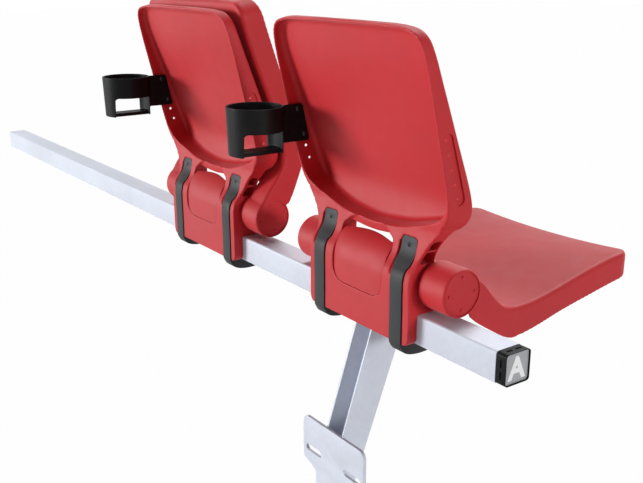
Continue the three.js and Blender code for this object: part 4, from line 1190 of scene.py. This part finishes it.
def apron():
    """The panel between the legs behind the beam, up to the cover's seam."""
    leg, beam = mm("leg"), mm("row").beam
    u = np.linspace(1, -1, STEPS["seam"])
    seam = np.stack([u * mm("cover").half, cover_bottom(u) - GAP], 1)
    reach, end = leg.inner + leg.rib, seam[0, 1]
    line = np.vstack([[(-reach, -beam), (reach, -beam), (reach, end)], seam, [(-reach, end)]])
    return mesh_object("apron", *prism(line, 1, leg.rear - leg.apron, leg.rear))


def slot_point(step):
    """A place along the accessory slot, in (y, z)."""
    slot = mm("slot")
    run = slot.pitch * step
    return slot.y + LEAN_SHARES["slot"] * run, slot.low + run


def slot_cuts():
    """The shallow slot in the outside of each side wall, and the row of holes through both."""
    slot, half = mm("slot"), mm("back").half
    past = slot.run / slot.pitch
    ends = slot_point(-past), slot_point(len(HOLE_STEPS) - 1 + past)
    line = stadium(*ends, slot.width / 2) - (slot.ahead, 0)
    deep, out = half - slot.depth, half + PAST
    layers = [sorted((side * deep, side * out)) for side in SIDES.values()]
    cuts = [mesh_object("slot", *prism(line, 0, *layer)) for layer in layers]
    holes = [bar(slot.bore, 0, -out, out, slot_point(step)) for step in HOLE_STEPS]
    return cuts + [mesh_object("hole", *hole) for hole in holes]


def backrest(name):
    """A tray with a rolled rim, two legs and an apron, melted into one moulding with eased edges."""
    b, leg_sizes, hinge = mm("back"), mm("leg"), mm("hinge")
    outline = back_outline(STEPS["rim"])
    body = mesh_object(name, *tray(outline, b.edge, 0.0, 0.0))
    merge(body, [*(leg(side) for side in SIDES.values()), apron()], "UNION")
    rim = grow(outline, b.wall, foot=b.foot_wall)
    cuts = [mesh_object("pocket", *tray(rim, b.round, b.skin, -leg_sizes.rear, b.foot_draft))]
    cuts += [make(side) for side in SIDES.values() for make in (strap_channel, neck_pocket)]
    wide = leg_sizes.outer + PAST
    cuts.append(mesh_object("bore", *bar(hinge.axle + GAP, 0, -wide, wide, pivot())))
    merge(body, cuts, "DIFFERENCE")
    mould(body, "moulding", EASE_ROUNDS["back"])
    merge(body, slot_cuts(), "DIFFERENCE")
    return shade(body)


# Seat pan, on the hinge: forwards is -y


def pan_width(reach):
    """Half the pan's width: constant, then round quarter circles at the two front corners."""
    pan = mm("pan")
    turn = np.clip(reach - pan.reach + pan.corner, 0, pan.corner)
    return pan.half - pan.corner + np.sqrt(pan.corner**2 - turn**2)


def pan_stations():
    """Reach, rim's height and hem's height along the pan, on one curve, closer towards the front."""
    line = curve_through(np.array(PAN_SHARES) * mm("pan").reach, 4 * STEPS["pan"])
    share = np.linspace(0, 1, STEPS["pan"])
    at = (share + FRONT_SHARE * share * (1 - share)) * (len(line) - 1)
    return line[np.round(at).astype(int)]


def pan_block(inset, drop, below):
    """The pan's whole block: at each station two skirts, two round edges and a top.

    The top is dished by the square of the share across.
    """
    pan = mm("pan")
    reach, top, bottom = pan_stations().T
    half = pan_width(reach) - inset
    edge = np.minimum(pan.edge, (top - bottom) / 2)
    turn = np.linspace(0, math.pi / 2, STEPS["quarter"])[None, :]
    round_x = half[:, None] - edge[:, None] * (1 - np.cos(turn))
    round_z = top[:, None] - drop - edge[:, None] * (1 - np.sin(turn))
    across = np.linspace(1, -1, STEPS["across"])[None, 1:-1]
    flat_x = across * (half - edge)[:, None]
    flat_z = top[:, None] - drop - pan.dish * (1 - across**2)
    foot_x, foot_z = half[:, None], (bottom - below)[:, None]
    x = np.hstack([foot_x, round_x, flat_x, -round_x[:, ::-1], -foot_x])
    z = np.hstack([foot_z, round_z, flat_z, round_z[:, ::-1], foot_z])
    back = inset * np.minimum(1, (reach / pan.reach) ** 2)
    y = np.broadcast_to((back - reach)[:, None], x.shape)
    return tube(np.stack([x, y, z], 2) + (0, *pivot()))


def pan_ribs():
    """A grid of ribs under the top: long and cross walls, kept to a layer that follows the top's shape."""
    pan = mm("pan")
    half, deep = pan.rib / 2, pan.reach
    y0, z0 = pivot()
    span = z0 - deep, z0 + deep
    aside = np.multiply(RIB_SHARES["long"], pan.half)
    long = [block(x - half, x + half, y0 - deep, y0 - pan.clear, *span) for x in aside]
    ahead = y0 - np.multiply(RIB_SHARES["cross"], pan.reach)
    cross = [block(-pan.half, pan.half, y - half, y + half, *span) for y in ahead]
    first, *rest = [mesh_object("rib", *shape) for shape in [*long, *cross]]
    merge(first, rest, "UNION")
    merge(first, [mesh_object("inside", *pan_block(pan.wall / 2, pan.wall / 2, PAST))], "INTERSECT")
    below = mesh_object("below", *pan_block(0.0, pan.wall + pan.rib_depth, pan.reach))
    return merge(first, [below], "DIFFERENCE")


def along_x(profile, side):
    """A (radius, x) profile turned about the hinge, on one side of the seat."""
    return turned(np.asarray(profile, float) * (1, side), 0, pivot(), STEPS["round"])


def hub_drum(side):
    """A hub's drum: a round bar with a rounded inner and outer edge."""
    pan = mm("pan")
    r, edge = pan.hub_round, pan.hub_edge
    near = arc((pan.hub - r, pan.hub_inner + r), r, -90, 0, STEPS["wide_corner"])
    far = arc((pan.hub - edge, pan.hub_outer - edge), edge, 0, 90, STEPS["corner"])
    profile = np.vstack([[(AXIS, pan.hub_inner)], near, far, [(AXIS, pan.hub_outer)]])
    return mesh_object("hub", *along_x(profile, side))


def hub_hollow(side):
    """What a hub has inside: a deep drum round the bush's boss, and the seat for its cap."""
    pan, hinge = mm("pan"), mm("hinge")
    inside, boss = pan.hub - pan.hub_wall, pan.bore + pan.hub_wall
    end = pan.hub_inner + hinge.bush_run
    ring = ring_profile(boss, inside, pan.hub_inner + pan.hub_wall, end + LAP)
    drum = ring_profile(AXIS, inside, end, pan.hub_outer + PAST)
    return [mesh_object("hollow", *along_x(line, side)) for line in (ring, drum[:4] + drum[:1])]


def seat_pan(name):
    """The pan's shell, ribs and hub drums melted into one moulding, then bored for its bushes."""
    pan = mm("pan")
    body = mesh_object(name, *pan_block(0.0, 0.0, 0.0))
    merge(body, [mesh_object("inner", *pan_block(pan.wall, pan.wall, pan.reach))], "DIFFERENCE")
    merge(body, [pan_ribs()], "UNION")
    clear = mesh_object("clear", *bar(pan.clear, 0, -pan.notch, pan.notch, pivot(), STEPS["round"]))
    merge(body, [clear], "DIFFERENCE")
    merge(body, [hub_drum(side) for side in SIDES.values()], "UNION")
    mould(body, "moulding", EASE_ROUNDS["pan"])
    bore = mesh_object("bore", *bar(pan.bore, 0, -pan.hub_outer, pan.hub_outer, pivot(), STEPS["round"]))
    merge(body, [bore, *(cut for side in SIDES.values() for cut in hub_hollow(side))], "DIFFERENCE")
    return shade(body)


def hub_cap(name, side):
    """A disc with an eased edge and the domed heads of its pins."""
    pan = mm("pan")
    y, z = pivot()
    ease = pan.cap / 8
    r, face, back = pan.hub - pan.hub_wall - GAP, pan.hub_outer - pan.cap_sink, pan.hub_outer - pan.cap
    rim = arc((r - ease, face - ease), ease, 0, 90, STEPS["cap_ease"])
    disc = mesh_object(name, *along_x(np.vstack([[(AXIS, back), (r, back)], rim, [(AXIS, face)]]), side))
    top = face + pan.pin_height
    dome = arc((pan.pin - ease, top - ease), ease, 0, 90, STEPS["ease"])
    profile = np.vstack([[(AXIS, face - ease), (pan.pin, face - ease)], dome, [(AXIS, top)]]) * (1, side)
    pins = []
    for turn in map(math.radians, PIN_DEGREES):
        centre = y - pan.pin_circle * math.cos(turn), z + pan.pin_circle * math.sin(turn)
        pins.append(mesh_object("pin", *turned(profile, 0, centre, STEPS["small_round"])))
    return shade(merge(disc, pins, "UNION"), "bent")


# Axle and bushes


def axle(name):
    """A plain tube through both legs and into the hubs."""
    hinge = mm("hinge")
    reach = (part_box("near_hinge_axle")[1].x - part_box("near_hinge_axle")[0].x) / MM / 2
    profile = ring_profile(hinge.axle_bore, hinge.axle, -reach, reach, AXLE_EASE)
    return shade(mesh_object(name, *along_x(profile, 1)))


def bush(name, side):
    """A sleeve in the hub's bore with a flange against the leg."""
    hinge, pan = mm("hinge"), mm("pan")
    low, high = pan.hub_inner - GAP - hinge.flange_wall, pan.hub_inner - GAP
    bore, end = hinge.axle + GAP / 3, high + hinge.bush_run
    line = [
        (bore, low), (hinge.flange - FLANGE_EASE, low), (hinge.flange, low + FLANGE_EASE),
        (hinge.flange, high), (hinge.bush, high), (hinge.bush, end), (bore, end), (bore, low),
    ]
    return shade(mesh_object(name, *along_x(line, side)))


# Hinge cover


def cover_grid(u, v, depth):
    """The cover's skin: an ellipse in (y, z) up from the seam, moved in by a depth.

    Its crown sinks with the square of the share across, and its ends roll forwards with the sixth power.
    """
    cover = mm("cover")
    y0, z0 = pivot()
    bottom = cover_bottom(u)
    top = cover.top - cover.crown * u**2
    z = bottom + (top - bottom) * v
    rise = np.maximum(z - z0, 0)
    reach = np.sqrt(1 - (rise / cover.reach_z) ** 2)
    slope, face = rise / cover.reach_z**2, reach / cover.reach_y
    size = np.hypot(slope, face)
    y = y0 + cover.reach_y * reach - cover.roll * np.abs(u) ** 6
    return np.stack([u * cover.half, y - depth * face / size, z - depth * slope / size], -1)


def hinge_cover(name):
    """A wall between two grids of the cover's skin, its four edges closed and eased."""
    wide, high = STEPS["cover_across"], STEPS["cover_up"]
    u, v = np.meshgrid(np.linspace(-1, 1, wide), np.linspace(0, 1, high), indexing="ij")
    outer, inner = cover_grid(u, v, 0.0), cover_grid(u, v, mm("cover").wall)
    points, faces = tube(np.concatenate([outer, inner[:, ::-1]], 1), closed_ends=False)
    count = 2 * high
    i = np.arange(high - 1)
    for base, turned_round in ((0, True), ((wide - 1) * count, False)):
        quads = np.stack([base + i, base + i + 1, base + count - 2 - i, base + count - 1 - i], -1)
        faces += (quads[:, ::-1] if turned_round else quads).tolist()
    return shade(bevelled(mesh_object(name, points, faces), "cover"))


# Clamp straps and their screws


def strap(name, side):
    """A bent flat bar down the leg, with a crescent foot under the beam and a wider tab at its top."""
    c, leg, beam = mm("clamp"), mm("leg"), mm("row").beam
    rear = rear_line(STRAP_REAR_SHARES, STEPS["line"])
    front = grow(rear, c.wall, closed=False)
    rear = grow(rear, -c.proud, closed=False)
    run = leg.rear + beam + c.hook
    foot = curve_through([(leg.rear - y * run, -beam - z * c.foot) for y, z in FOOT_SHARES], STEPS["flank"])
    hook = [
        (-beam - c.hook, c.hook_rise - beam), (-beam - GAP, c.hook_rise - beam),
        (-beam - GAP, -beam - GAP), (leg.rear - c.wall, -beam - GAP),
    ]
    shape = np.vstack([front, rear[::-1], foot, hook])
    wide = 2 * leg.outer
    obj = mesh_object(name, *prism(shape, 0, -wide, wide))
    outline = mesh_object("outline", *prism(strap_outline(0.0, side), 1, -wide, wide))
    merge(obj, [outline], "INTERSECT")
    x, y, z = strap_hole(side)
    seat = bar(c.head + GAP, 1, y - c.head_depth - GAP, y + 2 * PAST, (x, z))
    merge(obj, [mesh_object("seat", *seat)], "DIFFERENCE")
    return shade(bevelled(obj, "strap"), "bent")


def strap_hole(side):
    """Where the screw meets the strap's rear face."""
    c = mm("clamp")
    line = rear_line(STRAP_REAR_SHARES, STEPS["line"])
    y = float(np.interp(c.screw_at, line[:, 1], line[:, 0])) + c.proud
    return side * (c.inner + c.outer) / 2, y, c.screw_at


def strap_screw(name, side):
    """A small round head with a hexagon socket, on a short shank."""
    c = mm("clamp")
    x, y, z = strap_hole(side)
    ease = c.head / 6
    edge = arc((c.head - ease, y - ease), ease, 0, 90, STEPS["ease"])
    tip = y - c.screw_length
    below = [(AXIS, tip), (c.shank, tip), (c.shank, y - c.head_depth), (c.head, y - c.head_depth)]
    profile = np.vstack([below, edge, [(AXIS, y)]])
    obj = mesh_object(name, *turned(profile, 1, (x, z), STEPS["strap_screw"]))
    socket = bar(c.socket, 1, y - SOCKET["depth"], y + PAST, (x, z), SOCKET["sides"])
    return shade(merge(obj, [mesh_object("socket", *socket)], "DIFFERENCE"))


# Cup holder


def cup_cone(inset, low, high):
    """A cone whose foot sways forwards: its middle moves with the height."""
    cup = mm("cup")
    sway = cup.sway / (cup.top - cup.bottom)
    turn = np.linspace(0, 2 * math.pi, STEPS["cone"], endpoint=False)
    rings = []
    for z, radius in ((low, cup.bottom_radius - inset), (high, cup.top_radius - inset)):
        x, y = cup.x + radius * np.cos(turn), cup.y + sway * (z - cup.top) + radius * np.sin(turn)
        rings.append(np.stack([x, y, np.full(len(turn), z)], 1))
    return tube(rings)


def cup_arm():
    """The flat arm that the band is screwed on by."""
    cup = mm("cup")
    c = cup.arm_corner
    line = [
        (cup.arm_reach, cup.arm_bottom), (cup.arm_reach, cup.top), (c, cup.top), (-c / 4, cup.top - c),
        (cup.arm_low_y, cup.arm_bottom + c), (cup.arm_low_y + c, cup.arm_bottom),
    ]
    half = cup.arm_wall / 2
    return mesh_object("arm", *prism(line, 0, cup.arm_x - half, cup.arm_x + half))


def cup_holder(name):
    """A band with its lower middle cut away, a floor strip and an arm, melted together with eased edges."""
    cup = mm("cup")
    wide, middle = 2 * cup.top_radius, cup.y - cup.sway
    body = merge(mesh_object(name, *cup_cone(0.0, cup.bottom, cup.top)), [cup_arm()], "UNION")
    window = rounded(
        middle - cup.window, cup.bottom - wide, middle + cup.window, cup.window_top, cup.window_corner)
    cuts = [
        mesh_object("inside", *cup_cone(cup.wall, cup.bottom - LAP, cup.top + LAP)),
        mesh_object("window", *prism(window, 0, cup.x - wide, cup.x + wide)),
    ]
    sides = cup.arm_x - cup.arm_wall, cup.arm_x + cup.arm_wall
    for step in CUP_SCREW_STEPS.values():
        cuts.append(mesh_object("hole", *bar(cup.shank + GAP, 0, *sides, slot_point(step))))
    merge(body, cuts, "DIFFERENCE")
    half, reach = cup.strip / 2, cup.bottom_radius - cup.wall / 2
    across = cup.x - half, cup.x + half, middle - reach, middle + reach
    strip = mesh_object("strip", *block(*across, cup.bottom, cup.bottom + cup.strip_wall))
    merge(strip, [mesh_object("whole", *cup_cone(0.0, cup.bottom, cup.top))], "INTERSECT")
    merge(body, [strip], "UNION")
    return shade(mould(body, "cup", EASE_ROUNDS["cup"]))


def cup_screw(name, step):
    """A domed head with a cross slot, inside the side wall."""
    cup = mm("cup")
    y, z = slot_point(step)
    face = cup.arm_x - cup.arm_wall / 2 - GAP
    turn = np.linspace(0, math.pi / 2, STEPS["quarter"])
    dome = np.stack([cup.head * np.cos(turn), face - cup.head_depth * np.sin(turn)], 1)
    tip = face + 2 * cup.arm_wall
    shank = [(AXIS, tip), (cup.shank, tip), (cup.shank, face), (cup.head, face)]
    profile = np.vstack([shank, dome[1:-1], [(AXIS, face - cup.head_depth)]])
    obj = mesh_object(name, *turned(profile, 0, (y, z), STEPS["cup_screw"]))
    low, high = face - 2 * cup.head_depth, face - cup.head_depth / 2
    arms = (CROSS_HALF, cup.head / 2), (cup.head / 2, CROSS_HALF)
    cross = [mesh_object("cross", *block(low, high, y - a, y + a, z - b, z + b)) for a, b in arms]
    return shade(merge(obj, cross, "DIFFERENCE"))


# Beam, end cap and sign


def square_line(half, corner):
    """A square about the beam's axis with round corners, in (y, z)."""
    middle = -mm("row").beam / 2
    return rounded(middle - half, middle - half, middle + half, middle + half, corner)


def span_x(node):
    """The two ends of a CAD node along the row, in millimetres."""
    return [corner.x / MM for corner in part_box(node)]


def beam(name):
    """A drawn square tube."""
    low, high = span_x("beam")
    row = mm("row")
    half = row.beam / 2
    outside = mesh_object(name, *prism(square_line(half, row.corner), 0, low, high))
    hole = square_line(half - row.wall, row.corner - row.wall)
    merge(outside, [mesh_object("inside", *prism(hole, 0, low - PAST, high + PAST))], "DIFFERENCE")
    return shade(bevelled(outside, "tube"), "bent")


def end_cap(name):
    """A plug with a thin rim round a deep face, and small slots in its top and rear."""
    end, half = mm("end"), mm("row").beam / 2
    low, high = span_x("end_cap")
    seat = span_x("beam")[0] - GAP
    body = mesh_object(name, *prism(square_line(half, end.corner), 0, low, seat))
    bevelled(body, "cap")
    plug_half = half - mm("row").wall - 2 * GAP
    wall = 3 * GAP + mm("row").wall
    plug = mesh_object("plug", *prism(square_line(plug_half, end.sign_corner), 0, seat - LAP, high))
    merge(body, [plug], "UNION")
    face = square_line(half - end.frame, end.sign_corner)
    hollow = square_line(plug_half - wall, GAP)
    cuts = [
        mesh_object("face", *prism(face, 0, low - PAST, low + end.recess)),
        mesh_object("hollow", *prism(hollow, 0, seat + wall, high + PAST)),
    ]
    middle, run, wide = (low + seat) / 2, end.slot_run / 2, end.slot_width / 2
    for side in SIDES.values():
        at = side * end.slot_spacing / 2 - half
        across = middle - wide, middle + wide
        cuts.append(mesh_object("slot", *block(*across, -end.slot_depth, PAST, at - run, at + run)))
        cuts.append(mesh_object("slot", *block(*across, at - run, at + run, -end.slot_depth, PAST)))
    return shade(merge(body, cuts, "DIFFERENCE"))


def sign_plate(name):
    """A flat plate with a round edge, at the bottom of the cap's face."""
    end = mm("end")
    half = mm("row").beam / 2 - end.frame - GAP
    plate = mesh_object(name, *prism(square_line(half, end.sign_corner), 0, *span_x("sign_plate")))
    return shade(bevelled(plate, "sign"))


def sign_letter(name):
    """The letter as flat raised strokes, scaled to its height and laid on the sign."""
    end, row = mm("end"), mm("row")
    curve = bpy.data.curves.new(name, "FONT")
    curve.body = bpy.context.scene.seat_row.letter
    curve.size, curve.extrude = LETTER["size"] * MM, LETTER["half_depth"] * MM
    curve.offset = end.letter_weight * MM
    drawn = linked(name, curve)
    mesh = evaluated(drawn)
    bpy.data.objects.remove(drawn)
    flat = places(mesh)
    low, high = flat.min(0), flat.max(0)
    flat[:, :2] = (flat[:, :2] - (low + high)[:2] / 2) * end.letter_height * MM / (high - low)[1]
    face = span_x("sign_plate")[0] * MM
    y, z = -(row.setback + row.beam / 2) * MM, (row.rise - row.beam / 2) * MM
    put(mesh, np.stack([face - flat[:, 2] - LETTER["sink"] * MM, y - flat[:, 0], z + flat[:, 1]], 1))
    obj = linked(name, mesh)
    weld = obj.modifiers.new("weld", "WELD")
    weld.merge_threshold = LETTER["weld"] * MM
    return outwards(settle(obj))


# Bracket, riser plate and welds


def channel_line(start):
    """The bracket's front edge from the side: down from a start height, then leaning back to the plate."""
    end, row = mm("end"), mm("row")
    plate = row.setback - end.plate_wall - GAP
    foot = -end.channel_drop - (row.beam + plate) / LEAN_SHARES["channel"]
    return [(-row.beam, start), (-row.beam, -end.channel_drop), (plate, foot)]


def channel(name):
    """A folded channel, open to the rear, from the beam's underside to the riser plate."""
    end, row = mm("end"), mm("row")
    low, high = span_x("bracket_channel")
    top = -row.beam - GAP
    front = np.array(channel_line(top))
    plate = front[-1, 0]
    side = np.vstack([front, [(plate, -end.channel_plate), (0, top)]])
    body = mesh_object(name, *prism(side, 0, low, high))
    inner = grow(np.array(channel_line(0.0)), end.channel_wall, closed=False)
    inner[-1, 0] = plate
    rear = 2 * row.setback
    hollow = np.vstack([inner, [(rear, inner[-1, 1]), (rear, 0)]])
    walls = low + end.channel_wall, high - end.channel_wall
    merge(body, [mesh_object("hollow", *prism(hollow, 0, *walls))], "DIFFERENCE")
    return shade(bevelled(body, "bracket"))


def plate_line():
    """The riser plate's outline: a wide head that bends into a stem on a cubic Bezier curve."""
    end = mm("end")
    head, stem, r = end.plate_head / 2, end.plate_stem / 2, end.plate_corner
    low, high = -end.plate_shoulder - end.plate_neck, -end.plate_shoulder
    bend = high - end.plate_neck / 2
    u = np.linspace(0, 1, STEPS["bend"])[:, None]
    ends = [np.array(point) for point in ((stem, low), (stem, bend), (head, bend), (head, high))]
    neck = sum(k * u**i * (1 - u) ** (3 - i) * p for i, (k, p) in enumerate(zip((1, 3, 3, 1), ends)))
    corner = arc((head - r, end.plate_top - r), r, 0, 90, STEPS["wide_corner"])
    half = np.vstack([[(stem, -end.plate_bottom)], neck, corner])
    return np.vstack([half, half[::-1] * (-1, 1)])


def riser_plate(name):
    """A flat plate with two fixing slots."""
    end, row = mm("end"), mm("row")
    middle = sum(span_x("riser_plate")) / 2
    lift = np.array([middle, -row.rise])
    faces = row.setback - end.plate_wall, row.setback
    body = mesh_object(name, *prism(plate_line() + lift, 1, *faces))
    run = (end.plate_slot - end.plate_slot_width) / 2
    cuts = []
    for side in SIDES.values():
        at = side * end.plate_spacing / 2
        line = stadium((at - run, 0), (at + run, 0), end.plate_slot_width / 2) + lift
        cuts.append(mesh_object("slot", *prism(line, 1, faces[0] - PAST, faces[1] + PAST)))
    merge(body, cuts, "DIFFERENCE")
    return shade(bevelled(body, "plate"))


def bead(name, start, end):
    """A weld: a round bar between two points.

    Its radius swells with the sines of the run, and tapers with the root of the distance from an end.
    """
    radius = mm("end").bead
    start, end = np.array(start, float), np.array(end, float)
    run = np.linalg.norm(end - start)
    way = (end - start) / run
    side = np.cross(way, BEAD["across"])
    side /= np.linalg.norm(side)
    up = np.cross(way, side)
    at = np.linspace(0, 1, int(run / BEAD["step"]))[:, None, None]
    turn = np.linspace(0, 2 * math.pi, STEPS["bead"], endpoint=False)[None, :, None]
    ripple = 1.0
    for share, rate in BEAD["ripples"]:
        ripple = ripple + share * np.sin(at * run * rate)
    taper = np.sqrt(np.clip(np.minimum(at, 1 - at) * run / radius, BEAD["least"], 1))
    rings = start + way * run * at + radius * ripple * taper * (side * np.cos(turn) + up * np.sin(turn))
    return shade(mesh_object(name, *tube(rings)), "weld")


# Operators: one for the stage, and one for each piece or group of like pieces


class StageOperator(bpy.types.Operator):
    """Sets up the camera, the lamps, the world and the floor"""

    bl_idname = "seat_row.stage"
    bl_label = "Stage"

    def execute(self, context):
        context.scene.view_settings.view_transform = "Standard"
        camera()
        world(AMBIENT)
        for name, lamp in LAMPS.items():
            sun(name, **lamp)
        floor(FLOOR["level"], FLOOR["reach"])
        return {"FINISHED"}


class FinishesOperator(bpy.types.Operator):
    """Gives every CAD node its finish"""

    bl_idname = "seat_row.finishes"
    bl_label = "Finishes"

    def execute(self, context):
        for item in frame["record"]["subparts"]:
            node = frame["nodes"][item["node"]]
            node.data.materials.clear()
            node.data.materials.append(finish(item["material_slot"]))
        return {"FINISHED"}


class BacksOperator(bpy.types.Operator):
    """Makes the moulded backs with their legs"""

    bl_idname = "seat_row.backs"
    bl_label = "Backs"

    def execute(self, context):
        pair(backrest, "back", "backrest", "shell")
        return {"FINISHED"}


class PansOperator(bpy.types.Operator):
    """Makes the seat pans and the caps of their hubs"""

    bl_idname = "seat_row.pans"
    bl_label = "Seat pans"

    def execute(self, context):
        pair(seat_pan, "pan", "seat_pan", "shell", True)
        for word, side in SIDES.items():
            pair(hub_cap, f"cap_{word}", f"hub_cap_{word}", "shell", True, [side])
        return {"FINISHED"}


class HingesOperator(bpy.types.Operator):
    """Makes the axles and the bushes that the pans turn on"""

    bl_idname = "seat_row.hinges"
    bl_label = "Hinges"

    def execute(self, context):
        pair(axle, "tube", "hinge_axle", "steel")
        for word, side in SIDES.items():
            pair(bush, f"bush_{word}", f"hub_bush_{word}", "bearing", True, [side])
        return {"FINISHED"}


class CoversOperator(bpy.types.Operator):
    """Makes the domed hinge covers"""

    bl_idname = "seat_row.covers"
    bl_label = "Hinge covers"

    def execute(self, context):
        pair(hinge_cover, "cover", "hinge_cover", "shell")
        return {"FINISHED"}


class ClampsOperator(bpy.types.Operator):
    """Makes the clamp straps and their screws"""

    bl_idname = "seat_row.clamps"
    bl_label = "Clamp straps"

    def execute(self, context):
        for word, side in SIDES.items():
            pair(strap, f"clamp_{word}", f"strap_{word}", "strap", args=[side])
            pair(strap_screw, f"clamp_screw_{word}", f"strap_screw_{word}", "screw", args=[side])
        return {"FINISHED"}


class CupsOperator(bpy.types.Operator):
    """Makes the cup holders and their screws"""

    bl_idname = "seat_row.cups"
    bl_label = "Cup holders"

    def execute(self, context):
        pair(cup_holder, "cup", "cup_holder", "black")
        for word, step in CUP_SCREW_STEPS.items():
            pair(cup_screw, f"screw_{word}", f"cup_screw_{word}", "screw", args=[step])
        return {"FINISHED"}


class BeamOperator(bpy.types.Operator):
    """Makes the beam with its end cap, its sign and the letter"""

    bl_idname = "seat_row.beam"
    bl_label = "Beam and sign"

    def execute(self, context):
        dress(beam("beam_tube"), "steel", BODIES["row"], ["beam"])
        dress(end_cap("beam_cap"), "black", BODIES["row"], ["end_cap"])
        dress(sign_plate("row_sign"), "sign", BODIES["row"], ["sign_plate"])
        dress(sign_letter("row_letter"), "letter", BODIES["row"])
        return {"FINISHED"}


class BracketOperator(bpy.types.Operator):
    """Makes the bracket, the riser plate and the welds between them and the beam"""

    bl_idname = "seat_row.bracket"
    bl_label = "Riser bracket"

    def execute(self, context):
        dress(channel("bracket"), "steel", BODIES["row"], ["bracket_channel"])
        dress(riser_plate("plate"), "steel", BODIES["row"], ["riser_plate"])
        row, end = mm("row"), mm("end")
        plate = row.setback - end.plate_wall
        foot = channel_line(0.0)[-1][1]
        for word, x in zip(("near", "far"), span_x("bracket_channel")):
            upper = bead(f"weld_{word}_upper", (x, -row.beam, -row.beam), (x, 0, -row.beam))
            lower = bead(f"weld_{word}_lower", (x, plate, -end.channel_plate), (x, plate, foot))
            for weld in (upper, lower):
                dress(weld, "steel", BODIES["row"])
        return {"FINISHED"}


PIECES = [
    BacksOperator, PansOperator, HingesOperator, CoversOperator, ClampsOperator, CupsOperator, BeamOperator,
    BracketOperator,
]


class SeatRowPanel(bpy.types.Panel):
    """The row's operators and colours in the sidebar"""

    bl_idname = "VIEW3D_PT_seat_row"
    bl_label = "Seat row"
    bl_space_type = "VIEW_3D"
    bl_region_type = "UI"
    bl_category = "Seat Row"

    def draw(self, context):
        layout = self.layout
        for item in (StageOperator, FinishesOperator, *PIECES):
            layout.operator(item.bl_idname)
        row = context.scene.seat_row
        layout.prop(row, "letter")
        layout.prop(row, "fold")
        for key in RowColours.__annotations__:
            layout.prop(row.colours, key)


GROUPS = [
    RowSizes, HingeSizes, BackSizes, LegSizes, SlotSizes, CoverSizes, ClampSizes, PanSizes, CupSizes,
    EndSizes, RowColours, SeatRow,
]
CLASSES = [*GROUPS, StageOperator, FinishesOperator, *PIECES, SeatRowPanel]


def register():
    for item in CLASSES:
        bpy.utils.register_class(item)
    bpy.types.Scene.seat_row = PointerProperty(type=SeatRow)


def unregister():
    del bpy.types.Scene.seat_row
    for item in reversed(CLASSES):
        bpy.utils.unregister_class(item)


def main():
    """Makes the whole row."""
    register()
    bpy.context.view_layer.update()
    bpy.ops.seat_row.stage()
    bpy.ops.seat_row.finishes()
    bpy.ops.seat_row.backs()
    bpy.ops.seat_row.pans()
    bpy.ops.seat_row.hinges()
    bpy.ops.seat_row.covers()
    bpy.ops.seat_row.clamps()
    bpy.ops.seat_row.cups()
    bpy.ops.seat_row.beam()
    bpy.ops.seat_row.bracket()


if __name__ == "__main__":
    main()
